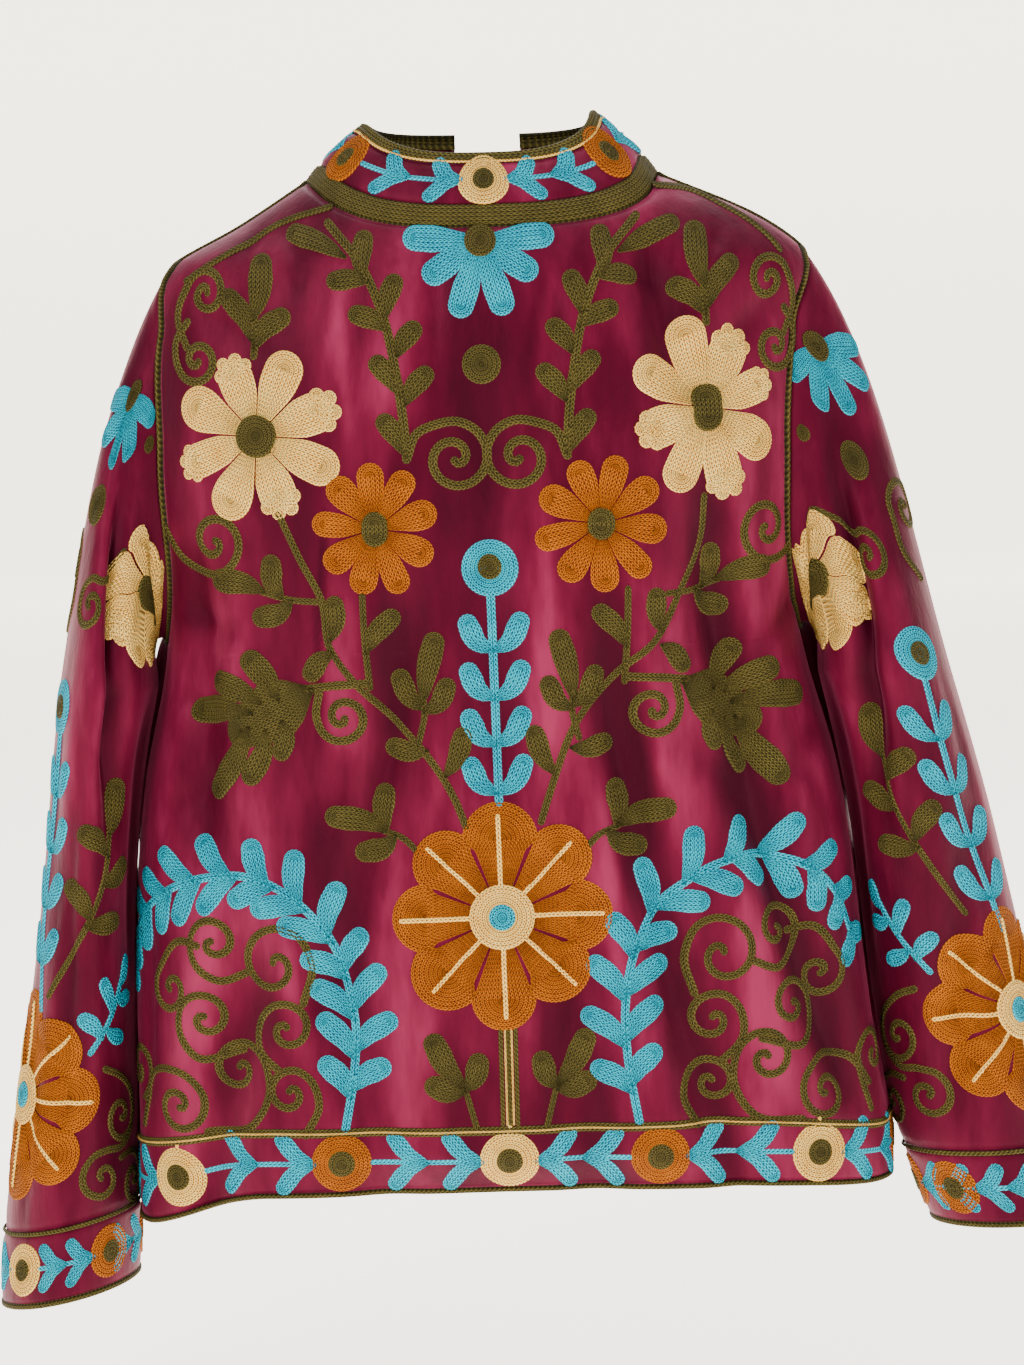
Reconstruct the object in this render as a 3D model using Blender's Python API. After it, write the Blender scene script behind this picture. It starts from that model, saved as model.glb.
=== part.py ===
"""Velvet jacket with a stand collar, filled out as if worn, seen here as its cut pieces.

Units are metres and +Z is up. The garment's back faces -Y and the wearer's right is +X. The origin is the
middle of the neck opening, level with the back collar seam, where the wearer's neck and shoulders hold it.
Every panel is a cloth wall: an outer skin of points on a surface worked out from a short table of
sections, and an inner skin moved in by the cloth's thickness.
"""

import math
from collections import namedtuple

import bmesh
import bpy
import numpy as np

# Cloth and seams
WALL = 0.0022
PROUD = 0.0010
SEAM_GAP = 0.0003

# Heights of the body, from the back collar seam
NECK_POINT_Z = 0.020
BACK_NECK_Z = -0.011
FRONT_NECK_Z = -0.006
BAND_SEAM_Z = -0.589
SEAM_RISE = 0.013
HEM_BINDING = 0.0030

# Armhole: an oval hole round each side line
ARMHOLE_Z = -0.150
ARMHOLE_HALF_HEIGHT = 0.120
ARMHOLE_HALF_WIDTH = 0.048

# Front opening, half its width at the neck and at the hem
OPENING_TOP = 0.015
OPENING_HEM = 0.013

# Collar: a band 50 mm high that leans in towards the neck
COLLAR_TOP_LEFT = 0.076
COLLAR_TOP_RIGHT = 0.069
COLLAR_TOP_BACK_Y = -0.045
COLLAR_TOP_FRONT_Y = 0.062
COLLAR_RISE_BACK = 0.047
COLLAR_RISE_LEFT = 0.037
COLLAR_RISE_RIGHT = 0.042
COLLAR_RISE_FRONT = 0.056
COLLAR_BULGE = 0.003
NECK_BAND_WIDTH = 0.014
COLLAR_EDGE_WIDTH = 0.0065
FRONT_EDGE_WIDTH = 0.009
PIPING_WIDTH = 0.0032

# Sleeves: a head lofted down to this height, then a hanging tube
HEAD_END_Z = -0.300

Section = namedtuple("Section", "z left right back front square")
TORSO = (
    Section(z=-0.700, left=0.241, right=0.251, back=0.104, front=0.122, square=2.9),
    Section(z=-0.590, left=0.239, right=0.245, back=0.106, front=0.122, square=2.9),
    Section(z=-0.485, left=0.2375, right=0.232, back=0.106, front=0.122, square=2.8),
    Section(z=-0.366, left=0.229, right=0.218, back=0.103, front=0.122, square=2.7),
    Section(z=-0.270, left=0.211, right=0.194, back=0.101, front=0.124, square=2.6),
    Section(z=-0.150, left=0.224, right=0.200, back=0.099, front=0.120, square=2.5),
    Section(z=-0.075, left=0.220, right=0.204, back=0.090, front=0.108, square=2.3),
    Section(z=-0.030, left=0.200, right=0.2025, back=0.078, front=0.090, square=2.1),
    Section(z=-0.008, left=0.159, right=0.173, back=0.067, front=0.074, square=2.0),
    Section(z=0.020, left=0.114, right=0.110, back=0.050, front=0.054, square=2.0),
)

SleeveRow = namedtuple("SleeveRow", "z x half_x y half_y")
SLEEVE_RIGHT = (
    SleeveRow(z=-0.680, x=0.3310, half_x=0.0500, y=0.012, half_y=0.047),
    SleeveRow(z=-0.633, x=0.3165, half_x=0.0520, y=0.011, half_y=0.049),
    SleeveRow(z=-0.588, x=0.3035, half_x=0.0540, y=0.010, half_y=0.051),
    SleeveRow(z=-0.510, x=0.2895, half_x=0.0520, y=0.006, half_y=0.056),
    SleeveRow(z=-0.446, x=0.2790, half_x=0.0485, y=0.002, half_y=0.062),
    SleeveRow(z=-0.382, x=0.2680, half_x=0.0450, y=-0.002, half_y=0.066),
    SleeveRow(z=-0.340, x=0.2585, half_x=0.0435, y=-0.004, half_y=0.069),
    SleeveRow(z=-0.300, x=0.2485, half_x=0.0425, y=-0.005, half_y=0.071),
)
SLEEVE_LEFT = (
    SleeveRow(z=-0.720, x=0.2895, half_x=0.0460, y=0.006, half_y=0.055),
    SleeveRow(z=-0.640, x=0.2857, half_x=0.0440, y=0.004, half_y=0.060),
    SleeveRow(z=-0.560, x=0.2787, half_x=0.0385, y=0.000, half_y=0.066),
    SleeveRow(z=-0.500, x=0.2735, half_x=0.0343, y=-0.002, half_y=0.070),
    SleeveRow(z=-0.430, x=0.2670, half_x=0.0303, y=-0.004, half_y=0.074),
    SleeveRow(z=-0.340, x=0.2565, half_x=0.0300, y=-0.006, half_y=0.077),
    SleeveRow(z=-0.300, x=0.2500, half_x=0.0315, y=-0.006, half_y=0.077),
)
SleeveEnd = namedtuple("SleeveEnd", "cuff_z edge_z slope leave_out reach_out")
END_RIGHT = SleeveEnd(cuff_z=-0.611, edge_z=-0.657, slope=0.02, leave_out=0.136, reach_out=0.080)
END_LEFT = SleeveEnd(cuff_z=-0.642, edge_z=-0.688, slope=-0.20, leave_out=0.126, reach_out=0.052)

# Large folds of the body: soft troughs that start at (u, z) and spread towards the hem, with u along the
# cloth from the centre back
Fold = namedtuple("Fold", "u_top z_top u_hem z_hem width depth")
BODY_FOLDS = (
    Fold(u_top=0.133, z_top=-0.140, u_hem=0.236, z_hem=-0.600, width=0.017, depth=0.016),
    Fold(u_top=0.066, z_top=-0.215, u_hem=0.158, z_hem=-0.660, width=0.015, depth=0.012),
    Fold(u_top=0.100, z_top=-0.010, u_hem=0.128, z_hem=-0.130, width=0.014, depth=0.009),
    Fold(u_top=-0.010, z_top=-0.050, u_hem=0.004, z_hem=-0.400, width=0.026, depth=0.007),
    Fold(u_top=-0.052, z_top=-0.190, u_hem=-0.118, z_hem=-0.520, width=0.015, depth=0.010),
    Fold(u_top=-0.096, z_top=-0.440, u_hem=-0.070, z_hem=-0.660, width=0.020, depth=0.006),
    Fold(u_top=-0.196, z_top=-0.190, u_hem=-0.190, z_hem=-0.420, width=0.016, depth=0.009),
    Fold(u_top=-0.160, z_top=-0.420, u_hem=-0.205, z_hem=-0.660, width=0.017, depth=0.010),
    Fold(u_top=0.030, z_top=-0.380, u_hem=0.062, z_hem=-0.660, width=0.018, depth=0.006),
    Fold(u_top=0.410, z_top=-0.120, u_hem=0.400, z_hem=-0.640, width=0.020, depth=0.011),
    Fold(u_top=0.345, z_top=-0.250, u_hem=0.330, z_hem=-0.660, width=0.018, depth=0.010),
    Fold(u_top=-0.410, z_top=-0.150, u_hem=-0.412, z_hem=-0.640, width=0.020, depth=0.012),
    Fold(u_top=-0.350, z_top=-0.280, u_hem=-0.340, z_hem=-0.660, width=0.018, depth=0.009),
)

# Large folds of the sleeves, turn from the outer line (0) to the underarm line (1), back side positive
SleeveFold = namedtuple("SleeveFold", "turn_top z_top turn_end z_end width depth")
FOLDS_RIGHT = (
    SleeveFold(turn_top=0.40, z_top=-0.060, turn_end=0.78, z_end=-0.420, width=0.075, depth=0.014),
    SleeveFold(turn_top=0.30, z_top=-0.350, turn_end=0.62, z_end=-0.620, width=0.090, depth=0.006),
    SleeveFold(turn_top=-0.42, z_top=-0.100, turn_end=-0.66, z_end=-0.420, width=0.080, depth=0.010),
    SleeveFold(turn_top=-0.30, z_top=-0.330, turn_end=-0.45, z_end=-0.580, width=0.090, depth=0.006),
)
FOLDS_LEFT = (
    SleeveFold(turn_top=0.42, z_top=-0.070, turn_end=0.74, z_end=-0.420, width=0.070, depth=0.013),
    SleeveFold(turn_top=0.36, z_top=-0.330, turn_end=0.52, z_end=-0.640, width=0.080, depth=0.006),
    SleeveFold(turn_top=-0.42, z_top=-0.100, turn_end=-0.66, z_end=-0.420, width=0.080, depth=0.010),
    SleeveFold(turn_top=-0.30, z_top=-0.350, turn_end=-0.40, z_end=-0.600, width=0.090, depth=0.006),
)
FOLD_SPREAD = 1.6

# Colours: red, green, blue of each finish
WINE = (0.30, 0.035, 0.095)
OLIVE = (0.085, 0.065, 0.018)

QUARTER_STEPS = 40
SLEEVE_COLUMNS = 24
BACK_COLUMNS = np.linspace(-1, 1, 29)
FRONT_COLUMNS = np.linspace(0, 1, 12)
SHOULDER_ROWS = (-0.012, 0.004, NECK_POINT_Z)
PANEL_GROW = PIPING_WIDTH + 2 * SEAM_GAP
DIFFERENCE = 1e-4


def column(rows, name, at):
    """Cubic curve through one column of a table, at the heights given."""
    x = np.array([row.z for row in rows])
    y = np.array([getattr(row, name) for row in rows])
    slope = np.gradient(y, x)
    i = np.clip(np.searchsorted(x, at) - 1, 0, len(x) - 2)
    step = x[i + 1] - x[i]
    t = np.clip((at - x[i]) / step, 0.0, 1.0)
    start = (1 + 2 * t) * (1 - t) ** 2 * y[i] + t * (1 - t) ** 2 * step * slope[i]
    end = t**2 * (3 - 2 * t) * y[i + 1] + t**2 * (t - 1) * step * slope[i + 1]
    return start + end


def ease(t):
    """Smooth step from 0 to 1."""
    t = np.clip(t, 0.0, 1.0)
    return t * t * (3 - 2 * t)


def quarter_curve(width, depth, square):
    """Quarters of rounded sections, from the middle to the side, and their cloth lengths, a row each."""
    angle = np.linspace(0.0, math.pi / 2, QUARTER_STEPS)
    power = 2 / square[..., None]
    x = width[..., None] * np.sin(angle) ** power
    y = depth[..., None] * np.cos(angle) ** power
    steps = np.hypot(np.diff(x, axis=-1), np.diff(y, axis=-1))
    length = np.concatenate([np.zeros(x.shape[:-1] + (1,)), np.cumsum(steps, axis=-1)], axis=-1)
    return x, y, length


def half_width(z, side):
    """Half width of the body at each height, on the side given by its sign."""
    return np.where(side > 0, column(TORSO, "right", z), column(TORSO, "left", z))


def quarter_length(z, side, part):
    """Cloth length of a quarter section, from the middle of the back or front to the side line."""
    z = np.asarray(z, dtype=float)
    return quarter_curve(half_width(z, side), column(TORSO, part, z), column(TORSO, "square", z))[2][..., -1]


def plain_torso(q, z):
    """Point of the body without folds, and its cloth distance from the centre back.

    q runs round the body: 0 centre back, 0.5 wearer's right side, 1 centre front, negative on the left.
    """
    q, z = np.broadcast_arrays(np.asarray(q, dtype=float), np.asarray(z, dtype=float))
    side = np.where(q >= 0, 1.0, -1.0)
    turn = np.abs(q)
    on_back = turn <= 0.5
    depth = np.where(on_back, column(TORSO, "back", z), column(TORSO, "front", z))
    x, y, length = quarter_curve(half_width(z, side), depth, column(TORSO, "square", z))
    share = np.where(on_back, turn, 1 - turn) / 0.5
    at = share * length[..., -1]
    i = np.clip(np.sum(length <= at[..., None], axis=-1) - 1, 0, QUARTER_STEPS - 2)[..., None]
    start = np.take_along_axis(length, i, -1)[..., 0]
    step = np.take_along_axis(length, i + 1, -1)[..., 0] - start
    t = (at - start) / step
    along_x = [np.take_along_axis(x, i + k, -1)[..., 0] for k in (0, 1)]
    along_y = [np.take_along_axis(y, i + k, -1)[..., 0] for k in (0, 1)]
    point_x = side * (along_x[0] + t * (along_x[1] - along_x[0]))
    point_y = np.where(on_back, -1.0, 1.0) * (along_y[0] + t * (along_y[1] - along_y[0]))
    cloth_back = quarter_length(z, side, "back")
    along = np.where(on_back, at, cloth_back + length[..., -1] - at)
    return np.stack([point_x, point_y, z], axis=-1), side * along


def fold_depth(along, z):
    """How far the body's folds sink, at a cloth distance from the centre back and a height."""
    total = np.zeros(along.shape)
    for fold in BODY_FOLDS:
        s = (fold.z_top - z) / (fold.z_top - fold.z_hem)
        centre = fold.u_top + (fold.u_hem - fold.u_top) * np.clip(s, 0, 1) ** FOLD_SPREAD
        reach = ease(s / 0.30) * ease((1 - s) / 0.18)
        total += fold.depth * reach * np.exp(-(((along - centre) / fold.width) ** 2))
    return total


def unit(vectors):
    return vectors / np.linalg.norm(vectors, axis=-1, keepdims=True)


def normals_of(surface, a, b):
    """Outward normals of a surface of two parameters, from small steps."""
    da = surface(a + DIFFERENCE, b) - surface(a - DIFFERENCE, b)
    db = surface(a, b + DIFFERENCE) - surface(a, b - DIFFERENCE)
    return unit(np.cross(da, db))


def hem_tuck(q, z):
    """The middle of the back hem curls in towards the body."""
    return 0.020 * ease((BAND_SEAM_Z - z) / 0.034) * ease(1 - np.abs(q) / 0.36)


def torso(q, z):
    """Point of the body with its large folds."""
    base, along = plain_torso(q, z)
    out = normals_of(lambda a, b: plain_torso(a, b)[0], q, z)
    point = base - out * fold_depth(along, z)[..., None]
    point[..., 1] += hem_tuck(q, z)
    return point


def neck_z(q):
    """Height of the neck seam round the body."""
    turn = np.abs(q)
    back = BACK_NECK_Z + (NECK_POINT_Z - BACK_NECK_Z) * ease(turn / 0.5) ** 1.6
    middle = (NECK_POINT_Z + FRONT_NECK_Z) / 2
    swing = (NECK_POINT_Z - FRONT_NECK_Z) / 2
    front = middle + swing * np.cos(math.pi * (turn - 0.5) / 0.5)
    return np.where(turn <= 0.5, back, front)


def hem_z(q):
    """Height of the hem's lower edge round the body."""
    turn = np.abs(q)
    side_drop = np.where(q < 0, 0.022, 0.006)
    drop = side_drop + (0.010 - side_drop) * ease((turn - 0.5) / 0.4)
    return -0.615 - drop * ease((turn - 0.26) / 0.17)


def seam_rise(q):
    """How far the hem band's seam rises across the back."""
    return SEAM_RISE * ease((0.46 - np.abs(q)) / 0.22)


def armhole_inset(z, side, part):
    """Share of q between the side line and the panel's edge: half a seam, half a cord or the armhole."""
    rise = (z - ARMHOLE_Z) / (ARMHOLE_HALF_HEIGHT + PANEL_GROW)
    width = (ARMHOLE_HALF_WIDTH + PANEL_GROW) * np.sqrt(np.maximum(0.0, 1 - rise * rise))
    seam = PIPING_WIDTH / 2 + SEAM_GAP if z > ARMHOLE_Z else SEAM_GAP / 2
    return 0.5 * max(float(width), seam) / quarter_length(z, side, part)


def front_edge(z, side, inset=0.0):
    """q of the garment's free front edge, or of a line that far in from it."""
    share = np.clip((NECK_POINT_Z - z) / (NECK_POINT_Z - BAND_SEAM_Z), 0, 1)
    half = OPENING_TOP + (OPENING_HEM - OPENING_TOP) * share + inset
    return 1 - 0.5 * half / quarter_length(z, side, "front")


def side_heights():
    """Heights of the rows along a side seam, close together where the armhole curves."""
    low = ARMHOLE_Z - ARMHOLE_HALF_HEIGHT - PANEL_GROW
    below = list(np.linspace(BAND_SEAM_Z, low, 8))
    steps = SLEEVE_COLUMNS // 2
    angles = np.pi * np.arange(steps - 1, -1, -1) / steps
    beside = [ARMHOLE_Z + (ARMHOLE_HALF_HEIGHT + PANEL_GROW) * math.cos(a) for a in angles]
    return np.array(below + beside + list(SHOULDER_ROWS))


def panel_rows(q_of_row, columns, heights):
    """Grid of (q, z) for a panel: rows rise from the hem seam and bend up to follow the neck."""
    low = ARMHOLE_Z - ARMHOLE_HALF_HEIGHT
    drop = NECK_POINT_Z - neck_z(q_of_row(NECK_POINT_Z, columns))
    q_rows = np.array([q_of_row(height, columns) for height in heights])
    z = np.array(heights)[:, None]
    up = np.clip((z - low) / (NECK_POINT_Z - low), 0, 1) ** 2
    down = np.clip((low - z) / (low - BAND_SEAM_Z), 0, 1) ** 2
    return q_rows, z - up * drop + down * seam_rise(q_rows)


def back_row(height, columns):
    left = 0.5 - armhole_inset(height, -1, "back")
    right = 0.5 - armhole_inset(height, 1, "back")
    return np.where(columns < 0, columns * left, columns * right)


def front_row(side):
    def row(height, columns):
        seam = 0.5 + armhole_inset(height, side, "front")
        edge = front_edge(height, side, FRONT_EDGE_WIDTH + SEAM_GAP)
        return side * (edge + (seam - edge) * columns)

    return row


def binding_row(side):
    def row(height, columns):
        return side * front_edge(height, side, FRONT_EDGE_WIDTH * columns)

    return row


def round_columns(height):
    """q of every column round the body, from the left front panel's edge to the right one's."""
    left = front_row(-1)(height, FRONT_COLUMNS)
    back = back_row(height, BACK_COLUMNS)
    right = front_row(1)(height, FRONT_COLUMNS[::-1])
    back[0], back[-1] = -0.5, 0.5
    return np.concatenate([left[:-1], back, right[1:]])


def armhole_point(turn, side, grow=-2 * SEAM_GAP):
    """(q, z) of the sleeve's edge in the armhole: turn 0 at the shoulder, 1 at the underarm.

    grow widens the oval, for what lies on the body round the armhole.
    """
    angle = math.pi * turn
    z = ARMHOLE_Z + (ARMHOLE_HALF_HEIGHT + grow) * np.cos(angle)
    width = (ARMHOLE_HALF_WIDTH + grow) * np.sin(np.abs(angle))
    on_back = turn >= 0
    back_share = 0.5 * width / quarter_length(z, side, "back")
    front_share = 0.5 * width / quarter_length(z, side, "front")
    return side * np.where(on_back, 0.5 - back_share, 0.5 + front_share), z


def sleeve_ring(turn, z, rows, side):
    """Point of the hanging tube at a turn and a height."""
    angle = math.pi * turn
    x = column(rows, "x", z) + column(rows, "half_x", z) * np.cos(angle)
    y = column(rows, "y", z) - column(rows, "half_y", z) * np.sin(angle)
    return np.stack([side * x, y, z + 0 * x], axis=-1)


def sleeve_fold_depth(turn, z, folds):
    total = np.zeros(turn.shape)
    for fold in folds:
        s = (fold.z_top - z) / (fold.z_top - fold.z_end)
        centre = fold.turn_top + (fold.turn_end - fold.turn_top) * np.clip(s, 0, 1)
        reach = ease(s / 0.35) * ease((1 - s) / 0.30)
        total += fold.depth * reach * np.exp(-(((turn - centre) / fold.width) ** 2))
    return total


def sleeve_head(turn, w, rows, end_shape, side):
    """Point of the sleeve head, lofted from the armhole (w 0) to the top of the hanging tube (w 1)."""
    q, z = armhole_point(turn, side)
    start = torso(q, z)
    end = sleeve_ring(turn, np.full(turn.shape, HEAD_END_Z), rows, side)
    top = ((1 + np.cos(math.pi * turn)) / 2)[..., None]
    leave_top = np.array([side * end_shape.leave_out, 0.0, -0.190])
    leave_under = np.array([side * 0.045, 0.0, 0.014])
    reach_top = np.array([side * end_shape.reach_out, 0.0, -0.300])
    reach_under = np.array([side * 0.002, 0.0, -0.045])
    leave = top * leave_top + (1 - top) * leave_under
    reach = top * reach_top + (1 - top) * reach_under
    w = w[..., None]
    from_start = (1 + 2 * w) * (1 - w) ** 2 * start + w * (1 - w) ** 2 * leave
    to_end = w**2 * (3 - 2 * w) * end + w**2 * (w - 1) * reach
    return from_start + to_end


def head_level(w):
    """Fold height that stands for a share of the sleeve head."""
    return -0.03 + (HEAD_END_Z + 0.03) * w


def sleeve(turn, level, rows, folds, end, side):
    """Point of the sleeve: level 0 to 1 is the head, and below 0 is minus the drop under the head."""
    head = sleeve_head(turn, np.minimum(level, 1), rows, end, side)
    drop = np.minimum(HEAD_END_Z + np.minimum(1 - level, 0), HEAD_END_Z)
    tube = sleeve_ring(turn, drop, rows, side)
    base = np.where((level < 1)[..., None], head, tube)
    height = np.where(level < 1, head_level(level), drop)
    return base, sleeve_fold_depth(turn, height, folds)


def sleeve_surface(rows, folds, end, side):
    """Surface function of one sleeve, with its folds and the slope of its lower end."""

    def plain(turn, level):
        return sleeve(turn, level, rows, folds, end, side)[0]

    def folded(turn, level):
        base, depth = sleeve(turn, level, rows, folds, end, side)
        out = normals_of(plain, turn, level) * side
        point = base - out * depth[..., None]
        tilt = ease((HEAD_END_Z - point[..., 2]) / 0.20)
        middle = column(rows, "x", point[..., 2])
        point[..., 2] += end.slope * tilt * (side * point[..., 0] - middle)
        return point

    return folded


def level_of(z):
    """Level of the sleeve's tube at a height below the head."""
    return 1 + HEAD_END_Z - z


def collar_point(q, h):
    """Point of the collar: h 0 on the neck seam, 1 on its top edge."""
    base_z = neck_z(q) + 3 * SEAM_GAP
    base, _ = plain_torso(q, base_z)
    turn = np.abs(q)
    angle = math.pi * turn
    middle_top = np.where(turn <= 0.5, BACK_NECK_Z + COLLAR_RISE_BACK, FRONT_NECK_Z + COLLAR_RISE_FRONT)
    side_top = NECK_POINT_Z + np.where(q > 0, COLLAR_RISE_RIGHT, COLLAR_RISE_LEFT)
    top_z = middle_top + (side_top - middle_top) * np.abs(np.sin(angle)) ** 3
    draw_in = np.where(q > 0, COLLAR_TOP_RIGHT / TORSO[-1].right, COLLAR_TOP_LEFT / TORSO[-1].left)
    depth = np.where(turn <= 0.5, -COLLAR_TOP_BACK_Y, COLLAR_TOP_FRONT_Y)
    top = np.stack(
        [
            base[..., 0] * draw_in,
            -depth * np.cos(angle),
            top_z,
        ],
        axis=-1,
    )
    front = ease((turn - 0.5) / 0.5)
    top[..., 0] += front * (base[..., 0] - top[..., 0])
    point = base + (top - base) * h[..., None]
    outward = unit(np.stack([base[..., 0], base[..., 1], 0 * h], axis=-1))
    return point + outward * (COLLAR_BULGE * np.sin(math.pi * h))[..., None]


def material(name, colour, roughness):
    """Finish of one kind of cloth."""
    made = bpy.data.materials.new(name)
    made.use_nodes = True
    shader = made.node_tree.nodes["Principled BSDF"]
    shader.inputs["Base Color"].default_value = (*colour, 1.0)
    shader.inputs["Roughness"].default_value = roughness
    shader.inputs["Metallic"].default_value = 0.0
    return made


def wall(name, outer, inner, finish, closed=False):
    """Closed solid between two grids of points, closed round its rim and, for a tube, round its columns."""
    rows, columns = outer.shape[:2]
    points = np.concatenate([outer.reshape(-1, 3), inner.reshape(-1, 3)])
    half = rows * columns
    faces = []
    spans = columns if closed else columns - 1
    for i in range(rows - 1):
        for j in range(spans):
            k = (j + 1) % columns
            quad = [i * columns + j, i * columns + k, (i + 1) * columns + k, (i + 1) * columns + j]
            faces.append(quad)
            faces.append([half + v for v in reversed(quad)])
    for i in (0, rows - 1):
        for j in range(spans):
            a, b = i * columns + j, i * columns + (j + 1) % columns
            faces.append([b, a, half + a, half + b] if i == 0 else [a, b, half + b, half + a])
    if not closed:
        for j in (0, columns - 1):
            for i in range(rows - 1):
                a, b = i * columns + j, (i + 1) * columns + j
                faces.append([a, b, half + b, half + a] if j == 0 else [b, a, half + a, half + b])
    mesh = bpy.data.meshes.new(name)
    mesh.from_pydata([tuple(p) for p in points], [], faces)
    shaped = bmesh.new()
    shaped.from_mesh(mesh)
    bmesh.ops.recalc_face_normals(shaped, faces=shaped.faces)
    shaped.to_mesh(mesh)
    shaped.free()
    mesh.shade_smooth()
    mesh.set_sharp_from_angle(angle=math.radians(50))
    mesh.materials.append(finish)
    made = bpy.data.objects.new(name, mesh)
    bpy.context.scene.collection.objects.link(made)
    return made


def cloth(name, surface, a, b, finish, closed=False, flip=1.0):
    """Panel of a surface: its outer skin on the surface, its inner skin one cloth thickness in."""
    outer = surface(a, b)
    out = flip * normals_of(surface, a, b)
    return wall(name, outer, outer - WALL * out, finish, closed)


def strip(name, surface, a, b, finish, closed=False):
    """Binding, band or cord set in line with the panels and standing a little proud of them."""
    middle = surface(a, b)
    out = normals_of(surface, a, b)
    return wall(name, middle + PROUD * out, middle - WALL * out, finish, closed)


def across(first, last, count):
    return np.linspace(first, last, count)


def grid(a, b):
    """Two grids from a row of a values and a column of b values."""
    return np.meshgrid(a, b)


def build_body(velvet):
    """Back and the two fronts."""
    heights = side_heights()
    heights[0] += SEAM_GAP
    q, z = panel_rows(back_row, BACK_COLUMNS, heights)
    cloth("back", torso, q, z, velvet)
    for side, name in ((-1, "front_left"), (1, "front_right")):
        q, z = panel_rows(front_row(side), FRONT_COLUMNS, heights)
        cloth(name, torso, q, z, velvet)


def build_hem_band(velvet, olive):
    """Band below the body's seam, and the binding on its lower edge."""
    q = round_columns(BAND_SEAM_Z)
    low = hem_z(q)
    top = BAND_SEAM_Z + seam_rise(q)
    z = np.array([top + (low - top) * share for share in across(0, 1, 3)])
    cloth("hem_band", torso, np.tile(q, (3, 1)), z, velvet)
    edges = [side * front_edge(BAND_SEAM_Z, side) for side in (-1, 1)]
    q = np.concatenate([[edges[0]], q[1:-1], [edges[1]]])
    z = np.array([hem_z(q) - 2 * SEAM_GAP, hem_z(q) - 2 * SEAM_GAP - HEM_BINDING])
    strip("hem_binding", torso, np.tile(q, (2, 1)), z, olive)


def build_sleeve(side, name, rows, folds, end, velvet, olive):
    """Sleeve, its cuff band and the binding on the cuff's edge."""
    surface = sleeve_surface(rows, folds, end, side)
    turn = across(-1, 1, SLEEVE_COLUMNS + 1)[:-1]
    head = (0.0, 0.10, 0.22, 0.36, 0.52, 0.68, 0.84)
    tube = [level_of(z) for z in across(HEAD_END_Z, end.cuff_z, 9)]
    t, level = grid(turn, np.array([*head, *tube]))
    outer = surface(t, level)
    out = side * normals_of(surface, t, level)
    out[0] = rim_normals(turn, side, out[0])
    wall(f"sleeve_{name}", outer, outer - WALL * out, velvet, closed=True)
    cuff_levels = [level_of(z) for z in across(end.cuff_z - SEAM_GAP, end.edge_z, 3)]
    t, level = grid(turn, np.array(cuff_levels))
    cloth(f"cuff_{name}", surface, t, level, velvet, closed=True, flip=side)
    low = end.edge_z - SEAM_GAP
    t, level = grid(turn, np.array([level_of(low), level_of(low - HEM_BINDING)]))
    cloth(f"cuff_binding_{name}", surface, t, level, olive, closed=True, flip=side)


def rim_normals(turn, side, natural):
    """Thickness directions on the armhole rim, kept from leaning over the body's edge."""
    body = normals_of(torso, *armhole_point(turn, side))
    step = torso(*armhole_point(turn + DIFFERENCE, side)) - torso(*armhole_point(turn - DIFFERENCE, side))
    inward = side * unit(np.cross(unit(step), body))
    lean = np.maximum(np.sum(natural * inward, axis=-1), 0.0)
    return unit(natural - lean[..., None] * inward + body)


def upright(vectors):
    """Horizontal part of the directions, so a wall keeps level edges."""
    flat = vectors.copy()
    flat[..., 2] = 0.0
    return unit(flat)


def build_collar(velvet, olive):
    """Stand collar, the flat band on its seam and the binding on its top edge."""
    ends = np.array([0.0, FRONT_EDGE_WIDTH])
    left, right = -front_edge(NECK_POINT_Z, -1, ends), front_edge(NECK_POINT_Z, 1, ends[::-1])
    q = np.concatenate([left, round_columns(NECK_POINT_Z), right])
    height = 0.050
    low, high = NECK_BAND_WIDTH / height, 1 - COLLAR_EDGE_WIDTH / height
    gap = 2 * SEAM_GAP / height
    parts = (
        ("neck_band", 0.0, low, 2, PROUD, olive),
        ("collar", low + gap, high - gap, 3, 0.0, velvet),
        ("collar_binding", high, 1.0, 2, PROUD, olive),
    )
    for name, first, last, rows, proud, finish in parts:
        a, b = grid(q, across(first, last, rows))
        middle = collar_point(a, b)
        out = upright(normals_of(collar_point, a, b))
        wall(name, middle + proud * out, middle - WALL * out, finish)


def build_front_bindings(olive):
    """Bindings down the two front edges, from the neck to the hem."""
    columns = np.array([0.0, 1.0])
    for side, name in ((-1, "left"), (1, "right")):
        q, z = panel_rows(binding_row(side), columns, side_heights())
        hem_q = side * front_edge(BAND_SEAM_Z, side, FRONT_EDGE_WIDTH * columns)
        q = np.vstack([hem_q, q])
        z = np.vstack([hem_z(hem_q), z])
        strip(f"front_binding_{name}", torso, q, z, olive)


def build_piping(olive):
    """Cords along the shoulder seams and round the armholes."""
    for side, name in ((-1, "left"), (1, "right")):
        turn = across(-1, 1, SLEEVE_COLUMNS + 1)[:-1]
        rows = [armhole_point(turn, side, grow) for grow in (0.0, PIPING_WIDTH)]
        q = np.array([row[0] for row in rows])
        z = np.array([row[1] for row in rows])
        strip(f"armhole_piping_{name}", torso, q, z, olive, closed=True)
        top = ARMHOLE_Z + ARMHOLE_HALF_HEIGHT + PANEL_GROW
        heights = np.array([top, *SHOULDER_ROWS]) - 4 * SEAM_GAP * np.array([0, 0, 0, 1])
        half = 0.25 * PIPING_WIDTH / quarter_length(heights, side, "back")
        q = side * np.array([0.5 - half, 0.5 + half])
        strip(f"shoulder_piping_{name}", torso, q, np.tile(heights, (2, 1)), olive)


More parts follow.
